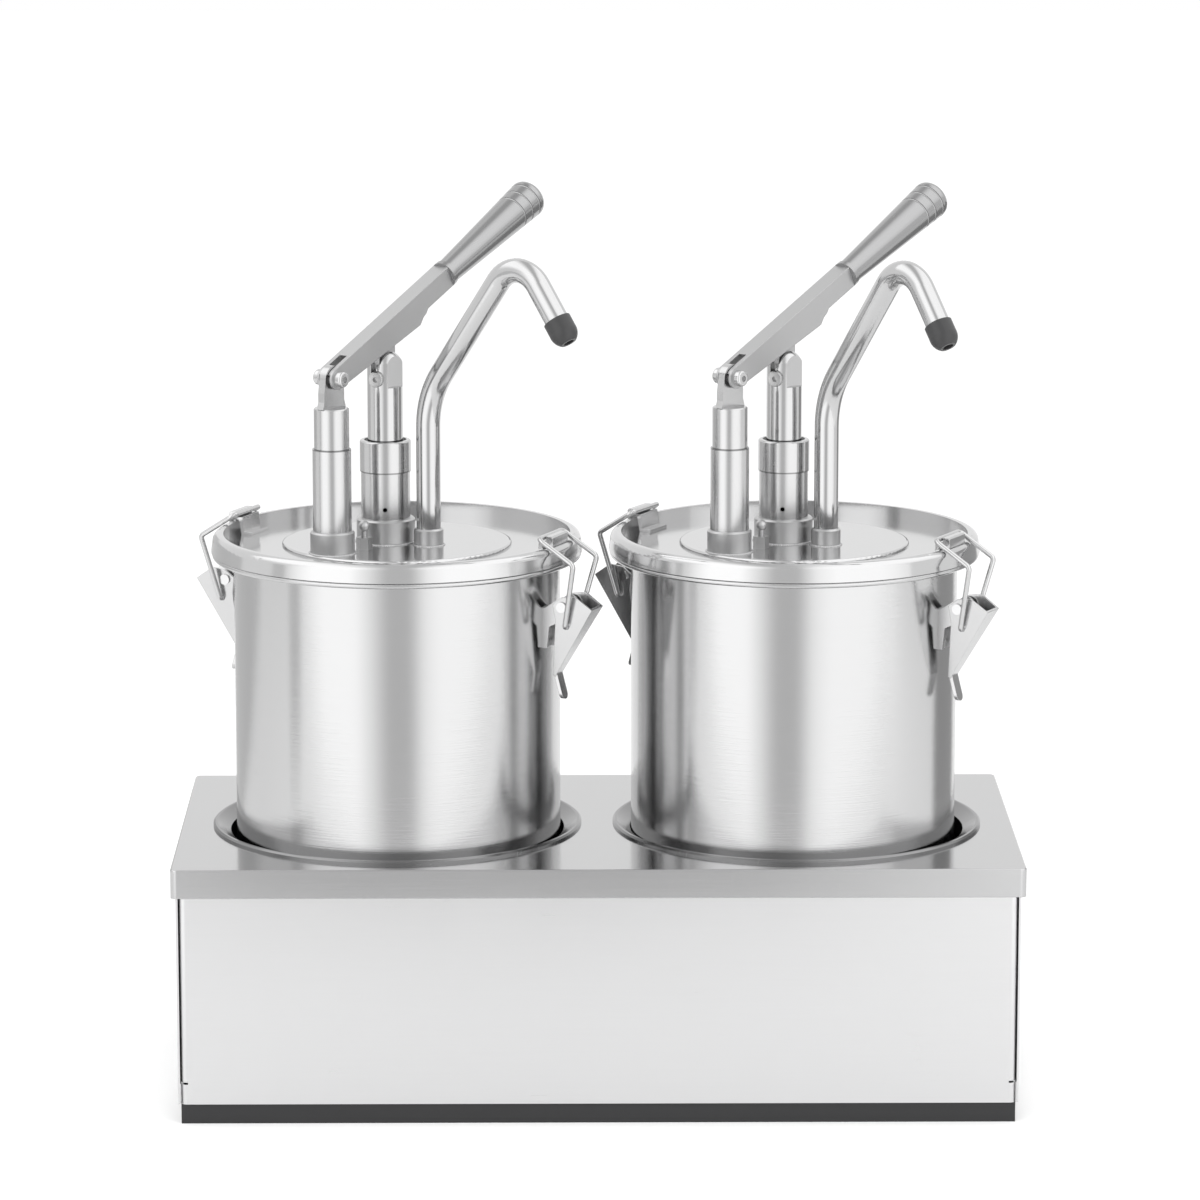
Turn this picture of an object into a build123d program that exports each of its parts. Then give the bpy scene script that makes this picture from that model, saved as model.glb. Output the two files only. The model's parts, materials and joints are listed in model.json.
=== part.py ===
from build123d import *
import os
from math import cos, radians, sin, sqrt

# Twin sauce dispenser in millimetres. +Z is up, the origin is the middle of the stand's base,
# the front of the stand faces -Y. A unit is one pot with its lid, pump, lever, spout and latches.

# Stand
cover_end_margin = 15.5
cover_side_margin = 11.9
cover_sheet = 1.2
cover_corner = 3.0
cover_edge = 0.8
skirt_height = 14.2
skirt_gap = 1.2
stand_height = 128.0
body_sheet = 1.0
body_corner = 3.0
seam_width = 0.4
seam_rise = 10.0
slit_height = 1.0
slit_reach = 3.5
front_return = 8.0
side_setback = 0.5
flange_width = 12.0
plinth_height = 10.0
plinth_inset = 1.4
plinth_wall = 8.0
tray_gap = 0.3
seat_inset = 13.0
seat_ring_width = 14.0
seat_rise = 5.0
screw_shank_radius = 2.0
screw_hole_clearance = 0.2
screw_head_radius = 3.8
screw_head_height = 2.2
screw_length = 9.0
side_screw_spacing = 120.0
front_screw_spacing = 240.0

# Wells and where the pots stand in them
well_y = -2.2
well_play = 2.4
ring_width = 8.7
ring_spacing = 15.6
ring_sheet = 1.2
ring_edge = 1.0
ring_crown = 1.8
ring_land = 2.2
ring_dip = 2.2
ring_sleeve = 12.0
ring_play = 0.2
left_shift = 0.6
right_shift = -1.9
left_turn = 0.0
right_turn = -4.5

# Pot, gasket and lid
pot_radius = 81.0
pot_wall = 1.0
pot_base_round = 10.0
pot_height = 249.2
pot_gap = 0.3
flange_reach = 9.2
pot_roll_radius = 1.4
gasket_inset = 1.0
gasket_width = 5.0
gasket_thickness = 2.3
lid_sheet = 1.2
lid_reach = 10.0
lid_flare = 1.1
lid_skirt_height = 9.0
lid_edge_round = 3.5
lid_lip_width = 5.0
lid_lip_height = 4.5
lid_step_inset = 24.0
lid_step_height = 1.5
lid_step_round = 1.2

# Pump
pump_x = -5.4
pump_y = -0.8
barrel_radius = 12.2
barrel_wall = 2.0
barrel_rise = 35.5
barrel_floor_gap = 28.0
vent_radius = 1.1
vent_rise = 17.5
nut_radius = 12.7
nut_height = 15.5
nut_round = 1.0
nut_recess_width = 1.6
nut_recess_depth = 2.0
nut_plug_depth = 10.0
rod_radius = 8.75
rod_fit = 0.08
rod_height = 95.7
dome_height = 6.0
flat_height = 77.7
head_thickness = 13.0
stem_radius = 4.0
stop_gap = 0.3
stop_thickness = 3.7
running_gap = 0.3
seat_depth = 35.0
seat_thickness = 3.0
seat_hole_gap = 0.6
spring_wire_radius = 0.8
spring_turns = 9
piston_length = 14.0
piston_rest_gap = 8.0
seal_width = 2.0
seal_gap = 0.1
foot_radius = 15.0
foot_height = 16.0
foot_spigot = 6.0
suction_radius = 5.0
chamber_radius = 7.0
passage_radius = 3.0
ball_radius = 5.6

# Spout
spout_dx = 21.5
spout_dy = -11.1
tube_radius = 6.0
tube_wall = 1.0
spout_corner_height = 74.2
spout_top_reach = 58.0
spout_top_height = 151.9
spout_end_reach = 85.5
spout_end_height = 114.4
spout_low_bend = 45.0
spout_top_bend = 15.5
spout_insert = 16.0
spout_fit = 0.08
left_yaw = -39.3
right_yaw = -48.1
nozzle_radius = 6.9
nozzle_length = 12.6
nozzle_grip = 6.0
nozzle_tip_radius = 4.0
nozzle_swell = 0.7
nozzle_hole_radius = 2.7
socket_wall = 1.5
socket_length = 20.0

# Lever, its post and the link to the rod
lever_azimuth = 52.2
post_to_pump = 41.2
post_radius = 9.5
post_neck_radius = 8.65
post_step = 51.7
post_ledge = 72.0
tongue_thickness = 4.0
tongue_half_width = 7.5
tongue_shoulder = 3.5
tongue_top_radius = 6.5
pivot_height = 86.5
pivot_radius = 3.0
pin_fit = 0.08
lever_lift = 25.1
lever_swing = 33.5
arm_width = 9.2
arm_height = 10.5
arm_sheet = 1.2
arm_deep_drop = 4.35
arm_deep_length = 66.0
arm_slot_back = 7.5
arm_slot_front = 13.0
arm_slot_width = 4.6
pin_head_radius = 3.9
pin_head_height = 4.2
pin_head_round = 1.2
pin_socket_radius = 1.7
pin_socket_depth = 1.5
drive_dip = 4.0
drive_pin_radius = 2.0
drive_pin_cover = 0.4
eye_gap = 0.45
eye_rim = 2.2
blade_thickness = 3.4
head_slot_width = 7.2
head_slot_foot = 89.5
blade_foot = 79.0
screw_rise = 82.2
screw_turn = 13.0
set_head_radius = 3.9
set_head_height = 2.0
set_shank_radius = 1.5
grip_start = 97.0
grip_end = 175.3
grip_small_radius = 6.3
grip_large_radius = 10.0
grip_lip = 0.7
grip_lip_length = 2.5
grip_end_round = 4.0
groove_pitch = 6.0
groove_depth = 0.6
groove_count = 3
spigot_fit = 0.1
spigot_length = 14.0

# Collars and the bleed fitting on the lid
pump_collar_radius = 14.5
pump_collar_height = 12.0
post_collar_radius = 10.9
post_collar_height = 11.0
spout_collar_radius = 7.25
spout_collar_height = 8.5
collar_round = 0.8
bleed_dx = 15.2
bleed_dy = 9.5
bleed_nut_radius = 4.0
bleed_nut_height = 6.0
bleed_neck_radius = 1.6
bleed_ball_radius = 2.8
bleed_height = 11.5

# Latches, measured outward from the pot's axis and down from the top of the lid
latch_front_turn = -24.0
latch_back_turn = 156.0
latch_pivot_reach = 11.5
latch_pivot_drop = 30.0
latch_pin_radius = 1.5
latch_pin_head_radius = 2.6
latch_pin_head_height = 0.8
latch_pin_gap = 0.3
latch_fit = 0.06
bail_pivot_out = 2.2
bail_pivot_below = 9.8
bail_wire_radius = 1.25
bail_half_width = 14.5
bail_foot_half_width = 8.3
bail_foot_bend = 2.0
bail_bend = 2.6
bail_shoulder_gap = 11.0
bail_shoulder_drop = 7.2
bail_bar_inset = 7.5
bail_bar_rise = 4.5
bail_end_depth = 3.7
lever_sheet = 1.2
lever_top_half_width = 7.0
lever_low_half_width = 3.8
lever_corner_out = 16.0
lever_crest_out = 7.0
lever_crest_rise = 5.8
lever_back = 4.9
lever_length = 35.0
finger_length = 12.0
finger_flare = 3.6
finger_round = 3.0
bracket_sheet = 1.2
bracket_half_width = 4.5
bracket_length = 21.5
bracket_ear_radius = 4.5
bracket_top_drop = 1.5
keeper_half_width = 9.0
keeper_sheet = 1.4
keeper_foot = 6.0
keeper_foot_gap = 4.0
keeper_bar_gap = 0.4
keeper_hump_rise = 0.8
keeper_hump_width = 3.6

# Widths, heights and places that follow from the sizes above
well_hole_radius = pot_radius + well_play
ring_radius = well_hole_radius + ring_width
ring_bevel = ring_width - ring_land
well_pitch = 2 * ring_radius + ring_spacing
cover_length = well_pitch + 2 * (ring_radius + cover_end_margin)
cover_depth = 2 * (ring_radius + cover_side_margin)
pot_flange_radius = pot_radius + flange_reach
gasket_inner_radius = pot_radius + gasket_inset
lid_top_radius = pot_radius + lid_reach
lid_step_radius = pot_radius - lid_step_inset
seat_ring_radius = pot_radius - seat_inset
body_length = cover_length - 2 * (cover_sheet + skirt_gap)
body_depth = cover_depth - 2 * (cover_sheet + skirt_gap)
body_front = -body_depth / 2
body_top = stand_height - cover_sheet
tray_base = plinth_height + body_sheet
tray_top = tray_base + body_sheet
front_half = body_length / 2 - body_sheet - seam_width
plinth_half_x = body_length / 2 - plinth_inset - plinth_wall / 2
plinth_half_y = body_depth / 2 - plinth_inset - plinth_wall / 2
sleeve_radius = well_hole_radius + ring_sheet
pot_base = tray_top + seat_rise + pot_gap
pot_top = pot_base + pot_height
lid_under = pot_top + gasket_thickness
lid_floor = lid_under + lid_sheet
disc_top = lid_floor + lid_step_height
disc_under = disc_top - lid_sheet
lid_top = disc_top + lid_lip_height
lip_inner_radius = lid_top_radius - lid_lip_width
barrel_top = disc_top + barrel_rise
barrel_base = pot_base + pot_wall + barrel_floor_gap
bore_radius = barrel_radius - barrel_wall
nut_top = barrel_top + nut_height
plug_base = barrel_top - nut_plug_depth
stop_top = plug_base - stop_gap
stop_base = stop_top - stop_thickness
seat_top = disc_top - seat_depth
post_x = pump_x - post_to_pump * cos(radians(lever_azimuth))
post_y = pump_y - post_to_pump * sin(radians(lever_azimuth))
spout_x = pump_x + spout_dx
spout_y = pump_y + spout_dy
pivot_z = disc_top + pivot_height
spigot_radius = arm_width / 2 - arm_sheet - spigot_fit

# The drive pin swings about the pivot on a circle whose middle reach is the pump's axis
pin_angle = lever_lift - drive_dip
pin_swing_radius = 2 * post_to_pump / (1 + cos(radians(pin_angle)))
pin_u = pin_swing_radius * cos(radians(drive_dip))
pin_v = -pin_swing_radius * sin(radians(drive_dip))
pin_rise = pin_swing_radius * sin(radians(pin_angle))
pin_play = pin_swing_radius * (1 - cos(radians(pin_angle))) / 2
stroke = pin_rise - pin_swing_radius * sin(radians(pin_angle - lever_swing))
piston_base = barrel_base + foot_spigot + piston_rest_gap + stroke

# Latch points in the plane of a latch: distance from the pot's axis, height
latch_pivot = (pot_radius + latch_pivot_reach, lid_top - latch_pivot_drop)
bail_pivot = (latch_pivot[0] + bail_pivot_out, latch_pivot[1] - bail_pivot_below)
bail_shoulder = (lid_top_radius + bail_shoulder_gap, lid_top - bail_shoulder_drop)
bail_bar = (lid_top_radius - bail_bar_inset, lid_top + bail_bar_rise)
lever_corner = (latch_pivot[0] + lever_corner_out, latch_pivot[1] - 0.4)
lever_foot = (latch_pivot[0] - lever_back, latch_pivot[1] - lever_length)

UP = (0, 0, 1)


def upright(x, y, turn=0.0):
    """Upright plane through x, y whose own x runs outward at the turn and whose own y runs up."""
    c, s = cos(radians(turn)), sin(radians(turn))
    return Plane(origin=(x, y, 0), x_dir=(c, s, 0), z_dir=(s, -c, 0))


def lever_plane():
    """Plane at the lever's pivot whose own x runs along the raised lever."""
    c, s = cos(radians(lever_azimuth)), sin(radians(lever_azimuth))
    out, rise = cos(radians(lever_lift)), sin(radians(lever_lift))
    return Plane(origin=(post_x, post_y, pivot_z), x_dir=(c * out, s * out, rise), z_dir=(s, -c, 0))


def turned(points, x=0.0, y=0.0):
    """Solid of revolution of a closed outline (distance, height) about the upright axis at x, y."""
    with BuildPart() as solid:
        with BuildSketch(upright(x, y)):
            with BuildLine():
                Polyline(*points, close=True)
            make_face()
        revolve(axis=Axis((x, y, 0), UP))
    return solid.part


def plate(plane, points, half_width):
    """Plate with a closed outline on a plane, as wide to both sides."""
    with BuildPart() as solid:
        with BuildSketch(plane):
            with BuildLine():
                Polyline(*points, close=True)
            make_face()
        extrude(amount=half_width, both=True)
    return solid.part


def well_places():
    return [(-well_pitch / 2, well_y), (well_pitch / 2, well_y)]


# Stand pieces
def top_cover():
    with BuildPart() as cover:
        with BuildSketch(Plane.XY.offset(stand_height - skirt_height)):
            RectangleRounded(cover_length, cover_depth, cover_corner)
        extrude(amount=skirt_height)
        fillet(cover.faces().sort_by(Axis.Z)[-1].edges(), cover_edge)
        with BuildSketch(Plane.XY.offset(stand_height - skirt_height)):
            RectangleRounded(
                cover_length - 2 * cover_sheet,
                cover_depth - 2 * cover_sheet,
                cover_corner - cover_sheet,
            )
        extrude(amount=skirt_height - cover_sheet, mode=Mode.SUBTRACT)
        with BuildSketch(Plane.XY.offset(body_top)):
            with Locations(*well_places()):
                Circle(well_hole_radius + ring_bevel + ring_play)
        extrude(amount=cover_sheet, mode=Mode.SUBTRACT)
    return cover.part


def well_ring(x):
    """Pressed ring that rests on the cover, with a bevel down to a sleeve round the pot."""
    slope = (ring_crown + ring_dip) / ring_bevel
    drop = ring_sheet * sqrt(1 + slope**2)
    bend = stand_height + ring_crown - slope * (ring_bevel - ring_sheet) - drop
    land = well_hole_radius + ring_bevel + (drop - ring_crown) / slope
    return turned(
        [
            (well_hole_radius, stand_height - ring_sleeve),
            (sleeve_radius, stand_height - ring_sleeve),
            (sleeve_radius, bend),
            (land, stand_height),
            (ring_radius, stand_height),
            (ring_radius, stand_height + ring_edge),
            (ring_radius - ring_edge, stand_height + ring_crown),
            (well_hole_radius + ring_bevel, stand_height + ring_crown),
            (well_hole_radius, stand_height - ring_dip),
        ],
        x,
        well_y,
    )


def sheet_ring(length, depth, corner):
    """Sketch of the stand's wall, one sheet thick."""
    with BuildSketch() as wall:
        RectangleRounded(length, depth, corner)
        RectangleRounded(
            length - 2 * body_sheet,
            depth - 2 * body_sheet,
            corner - body_sheet,
            mode=Mode.SUBTRACT,
        )
    return wall.sketch


def front_panel():
    """Flat front with bent returns, a foot flange and closed lower corners."""
    reach = front_return + body_corner
    with BuildPart() as panel:
        with BuildSketch(Plane.XY.offset(plinth_height)):
            add(sheet_ring(2 * front_half, body_depth, body_corner))
            with Locations((0, body_front + reach)):
                Rectangle(
                    body_length,
                    body_depth,
                    align=(Align.CENTER, Align.MIN),
                    mode=Mode.SUBTRACT,
                )
        extrude(amount=body_top - plinth_height)
        with BuildSketch(Plane.XY.offset(plinth_height)):
            with Locations((0, body_front + body_sheet)):
                Rectangle(
                    2 * (front_half - body_sheet),
                    flange_width,
                    align=(Align.CENTER, Align.MIN),
                )
        extrude(amount=body_sheet)
        with BuildSketch(Plane.XY.offset(plinth_height)):
            for side in (-1, 1):
                with Locations((side * (front_half + seam_width / 2), body_front + body_corner)):
                    Rectangle(seam_width, 2 * body_sheet)
        extrude(amount=seam_rise)
        with BuildSketch(Plane.XY.offset(plinth_height + seam_rise)):
            for side in (-1, 1):
                with Locations((side * front_half, body_front)):
                    Rectangle(2 * slit_reach, 2 * body_corner)
        extrude(amount=slit_height, mode=Mode.SUBTRACT)
        add(screw_holes(plinth_height, body_sheet), mode=Mode.SUBTRACT)
    return panel.part


def side_wrap():
    """Both sides and the back in one sheet, with a foot flange."""
    flange_start = body_front + body_sheet + flange_width + side_setback
    with BuildPart() as wrap:
        with BuildSketch(Plane.XY.offset(plinth_height)):
            add(sheet_ring(body_length, body_depth, body_corner))
            with Locations((0, body_front)):
                Rectangle(
                    body_length - 2 * body_sheet,
                    body_depth / 2,
                    align=(Align.CENTER, Align.MIN),
                    mode=Mode.SUBTRACT,
                )
            with Locations((0, body_front)):
                Rectangle(body_length, 2 * side_setback, mode=Mode.SUBTRACT)
            for side in (-1, 1):
                with Locations((side * (body_length / 2 - body_sheet / 2), body_front + side_setback)):
                    Rectangle(body_sheet, body_corner, align=(Align.CENTER, Align.MIN))
        extrude(amount=body_top - plinth_height)
        with BuildSketch(Plane.XY.offset(plinth_height)):
            Rectangle(body_length - 2 * body_sheet, body_depth - 2 * body_sheet)
            with Locations((0, body_front)):
                Rectangle(
                    body_length - 2 * (body_sheet + flange_width),
                    body_depth - body_sheet - flange_width,
                    align=(Align.CENTER, Align.MIN),
                    mode=Mode.SUBTRACT,
                )
            with Locations((0, flange_start)):
                Rectangle(
                    body_length,
                    body_depth,
                    align=(Align.CENTER, Align.MAX),
                    mode=Mode.SUBTRACT,
                )
        extrude(amount=body_sheet)
        add(screw_holes(plinth_height, body_sheet), mode=Mode.SUBTRACT)
    return wrap.part


def screw_places():
    """Two screws in the middle part of each side of the plinth."""
    places = []
    for side in (-1, 1):
        for end in (-1, 1):
            places.append((side * plinth_half_x, end * side_screw_spacing / 2))
            places.append((end * front_screw_spacing / 2, side * plinth_half_y))
    return places


def screw_holes(base, depth):
    """Upright rods as wide as the clearance holes of the base screws."""
    with BuildPart() as holes:
        with BuildSketch(Plane.XY.offset(base)):
            with Locations(*screw_places()):
                Circle(screw_shank_radius + screw_hole_clearance)
        extrude(amount=depth)
    return holes.part


def base_tray():
    """Floor of the stand with a raised ring under each pot."""
    with BuildPart() as tray:
        with BuildSketch(Plane.XY.offset(tray_base)):
            RectangleRounded(
                2 * (front_half - body_sheet - tray_gap),
                body_depth - 2 * (body_sheet + tray_gap),
                body_corner,
            )
        extrude(amount=body_sheet)
        add(screw_holes(tray_base, body_sheet), mode=Mode.SUBTRACT)
        with BuildSketch(Plane.XY.offset(tray_top)):
            with Locations(*well_places()):
                Circle(seat_ring_radius + seat_ring_width / 2)
                Circle(seat_ring_radius - seat_ring_width / 2, mode=Mode.SUBTRACT)
        extrude(amount=seat_rise)
    return tray.part


def plinth():
    with BuildPart() as frame:
        with BuildSketch():
            Rectangle(body_length - 2 * plinth_inset, body_depth - 2 * plinth_inset)
            Rectangle(
                body_length - 2 * (plinth_inset + plinth_wall),
                body_depth - 2 * (plinth_inset + plinth_wall),
                mode=Mode.SUBTRACT,
            )
        extrude(amount=plinth_height)
        with BuildSketch(Plane.XY.offset(plinth_height)):
            with Locations(*screw_places()):
                Circle(screw_shank_radius)
        extrude(amount=tray_top - screw_length - plinth_height, mode=Mode.SUBTRACT)
    return frame.part


def base_screws():
    with BuildPart() as screws:
        with BuildSketch(Plane.XY.offset(tray_top - screw_length)):
            with Locations(*screw_places()):
                Circle(screw_shank_radius)
        extrude(amount=screw_length)
        with BuildSketch(Plane.XY.offset(tray_top)):
            with Locations(*screw_places()):
                Circle(screw_head_radius)
        extrude(amount=screw_head_height)
    return screws.part


# Pot, gasket and lid
def pot():
    flange_under = pot_top - pot_wall
    inner = pot_radius - pot_wall
    with BuildPart() as shell:
        with BuildSketch(Plane.XZ) as section:
            with BuildLine():
                Polyline(
                    (0, pot_base),
                    (pot_radius, pot_base),
                    (pot_radius, flange_under),
                    (pot_flange_radius, flange_under),
                    (pot_flange_radius, pot_top),
                    (inner, pot_top),
                    (inner, pot_base + pot_wall),
                    (0, pot_base + pot_wall),
                    close=True,
                )
            make_face()
            low = section.vertices().group_by(Axis.Y)
            fillet(low[0].sort_by(Axis.X)[-1], pot_base_round)
            inside = section.vertices().filter_by(lambda v: abs(v.X - inner) < pot_wall / 4)
            fillet(inside.sort_by(Axis.Y)[0], pot_base_round - pot_wall)
            with Locations((pot_flange_radius, flange_under)):
                Circle(pot_roll_radius)
        revolve(axis=Axis.Z)
    return shell.part


def pot_gasket():
    outer = gasket_inner_radius + gasket_width
    return turned(
        [
            (gasket_inner_radius, pot_top),
            (outer, pot_top),
            (outer, lid_under),
            (gasket_inner_radius, lid_under),
        ]
    )


def lid():
    skirt_base = lid_top - lid_skirt_height
    skirt_radius = lid_top_radius + lid_flare
    step_under = lid_step_radius - lid_sheet
    with BuildPart() as cap:
        with BuildSketch(Plane.XZ) as section:
            with BuildLine():
                Polyline(
                    (0, disc_top),
                    (lid_step_radius, disc_top),
                    (lid_step_radius, lid_floor),
                    (lip_inner_radius, lid_floor),
                    (lip_inner_radius, lid_top),
                    (lid_top_radius, lid_top),
                    (skirt_radius, skirt_base),
                    (skirt_radius - lid_sheet, skirt_base),
                    (lid_top_radius - lid_sheet, lid_top - lid_sheet),
                    (lip_inner_radius + lid_sheet, lid_top - lid_sheet),
                    (lip_inner_radius + lid_sheet, lid_under),
                    (step_under, lid_under),
                    (step_under, disc_under),
                    (0, disc_under),
                    close=True,
                )
            make_face()
            rim = section.vertices().group_by(Axis.Y)[-1].sort_by(Axis.X)
            fillet(rim[-1], lid_edge_round)
            fillet(rim[0], lid_sheet / 2)
            under_rim = lid_top - lid_sheet
            inner = section.vertices().filter_by(lambda v: abs(v.Y - under_rim) < lid_sheet / 10)
            fillet(inner.sort_by(Axis.X)[-1], lid_edge_round - lid_sheet)
            level = section.vertices().filter_by(lambda v: abs(v.Y - disc_top) < lid_sheet / 10)
            fillet(level.sort_by(Axis.X)[-1], lid_step_round)
        revolve(axis=Axis.Z)
        with BuildSketch(Plane.XY.offset(disc_under)):
            with Locations((pump_x, pump_y)):
                Circle(barrel_radius)
            with Locations((spout_x, spout_y)):
                Circle(tube_radius + spout_fit)
        extrude(amount=lid_sheet, mode=Mode.SUBTRACT)
    return cap.part


def lid_fittings():
    """Pump collar, post collar, spout collar and the bleed fitting, each a solid of its own."""
    with BuildPart() as fittings:
        add(collar(pump_x, pump_y, pump_collar_radius, barrel_radius, pump_collar_height))
        add(collar(post_x, post_y, post_collar_radius, post_radius, post_collar_height))
        add(collar(spout_x, spout_y, spout_collar_radius, tube_radius + spout_fit, spout_collar_height))
        x, y = post_x + bleed_dx, post_y + bleed_dy
        with BuildSketch(Plane.XY.offset(disc_top)):
            with Locations((x, y)):
                RegularPolygon(bleed_nut_radius, 6)
        extrude(amount=bleed_nut_height)
        with BuildSketch(Plane.XY.offset(disc_top)):
            with Locations((x, y)):
                Circle(bleed_neck_radius)
        extrude(amount=bleed_height)
        with Locations((x, y, disc_top + bleed_height)):
            Sphere(bleed_ball_radius)
    return fittings.part


def collar(x, y, outer, bore, height):
    """Collar on the lid's middle with an eased top edge."""
    top = disc_top + height
    return turned(
        [
            (bore, disc_top),
            (outer, disc_top),
            (outer, top - collar_round),
            (outer - collar_round, top),
            (bore, top),
        ],
        x,
        y,
    )


# Pump pieces
def pump_barrel():
    """Cylinder through the lid, with a ledge for the return spring and a vent hole in front."""
    ledge_radius = stem_radius + seat_hole_gap
    wall = turned(
        [
            (barrel_radius, barrel_base),
            (barrel_radius, barrel_top),
            (bore_radius, barrel_top),
            (bore_radius, seat_top),
            (ledge_radius, seat_top),
            (ledge_radius, seat_top - seat_thickness),
            (bore_radius, seat_top - seat_thickness),
            (bore_radius, barrel_base),
        ],
        pump_x,
        pump_y,
    )
    with BuildPart() as barrel:
        add(wall)
        with BuildSketch(Plane(origin=(pump_x, pump_y, disc_top + vent_rise), z_dir=(0, -1, 0))):
            Circle(vent_radius)
        extrude(amount=2 * barrel_radius, mode=Mode.SUBTRACT)
    return barrel.part


def gland_nut():
    """Plain round nut with a plug in the barrel and a recess round the rod in its top."""
    bore = rod_radius + rod_fit
    recess = bore + nut_recess_width
    with BuildPart() as nut:
        with BuildSketch(upright(pump_x, pump_y)) as section:
            with BuildLine():
                Polyline(
                    (bore, plug_base),
                    (bore_radius, plug_base),
                    (bore_radius, barrel_top),
                    (nut_radius, barrel_top),
                    (nut_radius, nut_top),
                    (recess, nut_top),
                    (recess, nut_top - nut_recess_depth),
                    (bore, nut_top - nut_recess_depth),
                    close=True,
                )
            make_face()
            fillet(section.vertices().group_by(Axis.Y)[-1].sort_by(Axis.X)[-1], nut_round)
        revolve(axis=Axis((pump_x, pump_y, 0), UP))
    return nut.part


def piston_rod():
    """Thin stem, stop shoulder and thick rod with a domed head, two flats and a slot."""
    dome_base = disc_top + rod_height - dome_height
    dome_radius = (rod_radius**2 + dome_height**2) / (2 * dome_height)
    plane = upright(pump_x, pump_y, lever_azimuth)
    with BuildPart() as rod:
        with BuildSketch(upright(pump_x, pump_y)):
            with BuildLine():
                Polyline(
                    (0, disc_top + rod_height),
                    (0, piston_base),
                    (stem_radius, piston_base),
                    (stem_radius, stop_base),
                    (bore_radius - running_gap, stop_base),
                    (bore_radius - running_gap, stop_top),
                    (rod_radius, stop_top),
                    (rod_radius, dome_base),
                )
                RadiusArc((rod_radius, dome_base), (0, disc_top + rod_height), -dome_radius)
            make_face()
        revolve(axis=Axis((pump_x, pump_y, 0), UP))
        with BuildSketch(plane.offset(head_thickness / 2)):
            with Locations((0, disc_top + flat_height)):
                Rectangle(2 * nut_radius, rod_height, align=(Align.CENTER, Align.MIN))
        extrude(amount=rod_radius, mode=Mode.SUBTRACT)
        with BuildSketch(plane.offset(-head_thickness / 2)):
            with Locations((0, disc_top + flat_height)):
                Rectangle(2 * nut_radius, rod_height, align=(Align.CENTER, Align.MIN))
        extrude(amount=-rod_radius, mode=Mode.SUBTRACT)
        with BuildSketch(plane):
            with Locations((0, disc_top + blade_foot)):
                Rectangle(2 * nut_radius, rod_height, align=(Align.CENTER, Align.MIN))
        extrude(amount=blade_thickness / 2, both=True, mode=Mode.SUBTRACT)
        with BuildSketch(plane):
            with Locations((0, disc_top + head_slot_foot)):
                Rectangle(2 * nut_radius, rod_height, align=(Align.CENTER, Align.MIN))
        extrude(amount=head_slot_width / 2, both=True, mode=Mode.SUBTRACT)
    return rod.part


def drive_blade():
    """Flat link in the rod's slot with a slotted eye for the lever's drive pin."""
    slot_half = pin_play + drive_pin_radius + eye_gap
    slot_height = drive_pin_radius + eye_gap
    eye_z = pivot_z + pin_rise
    width = 2 * (slot_half + eye_rim)
    top = eye_z + slot_height + eye_rim
    plane = upright(pump_x, pump_y, lever_azimuth)
    with BuildPart() as blade:
        with BuildSketch(plane) as outline:
            with Locations((0, disc_top + blade_foot)):
                Rectangle(width, top - disc_top - blade_foot, align=(Align.CENTER, Align.MIN))
            fillet(outline.vertices().group_by(Axis.Y)[-1], slot_height)
            with Locations((0, eye_z)):
                RectangleRounded(2 * slot_half, 2 * slot_height, slot_height * 0.96, mode=Mode.SUBTRACT)
        extrude(amount=blade_thickness / 2, both=True)
    return blade.part


def screw_plane():
    """Plane across the head screw's axis, a little round from the post's side of the rod."""
    turn = radians(lever_azimuth + screw_turn)
    return Plane(origin=(pump_x, pump_y, disc_top + screw_rise), z_dir=(-cos(turn), -sin(turn), 0))


def head_screw():
    """Small socket screw whose head stands off the rod and whose end steadies the blade."""
    blade_half = pin_play + drive_pin_radius + eye_gap + eye_rim
    lean = radians(screw_turn)
    start = (blade_half + set_shank_radius * sin(lean)) / cos(lean)
    facing = screw_plane()
    with BuildPart() as screw:
        with BuildSketch(facing.offset(start)):
            Circle(set_shank_radius)
        extrude(amount=rod_radius - start)
        with BuildSketch(facing.offset(rod_radius)):
            Circle(set_head_radius)
        extrude(amount=set_head_height)
        rim = screw.edges().filter_by(GeomType.CIRCLE).sort_by(Axis(facing.origin, facing.z_dir))[-1]
        fillet(rim, set_head_height / 4)
        with BuildSketch(facing.offset(rod_radius + set_head_height)):
            RegularPolygon(set_shank_radius, 6)
        extrude(amount=-0.75 * set_head_height, mode=Mode.SUBTRACT)
    return screw.part


def screw_hole():
    """Space that the head screw's shank takes in the rod."""
    with BuildPart() as hole:
        with BuildSketch(screw_plane()):
            Circle(set_shank_radius)
        extrude(amount=rod_radius)
    return hole.part


def return_spring():
    """Coil spring between the barrel's ledge and the rod's stop, one unbroken tube."""
    radius = (bore_radius + stem_radius) / 2
    height = stop_base - seat_top - 2 * (spring_wire_radius + stop_gap)
    base = seat_top + spring_wire_radius + stop_gap
    with BuildPart() as spring:
        with BuildLine(Plane((pump_x, pump_y, base))) as coil:
            Helix(pitch=height / spring_turns, height=height, radius=radius)
        with BuildSketch(Plane(origin=coil.line @ 0, z_dir=coil.line % 0)):
            Circle(spring_wire_radius)
        sweep()
    return spring.part


def piston():
    """Piston on the stem, with two proud sealing bands."""
    skin = bore_radius - running_gap
    band = bore_radius - seal_gap
    low = piston_base + seal_width
    high = piston_base + piston_length - seal_width
    return turned(
        [
            (stem_radius, piston_base),
            (skin, piston_base),
            (skin, low),
            (band, low),
            (band, low + seal_width),
            (skin, low + seal_width),
            (skin, high - seal_width),
            (band, high - seal_width),
            (band, high),
            (skin, high),
            (skin, piston_base + piston_length),
            (stem_radius, piston_base + piston_length),
        ],
        pump_x,
        pump_y,
    )


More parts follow.
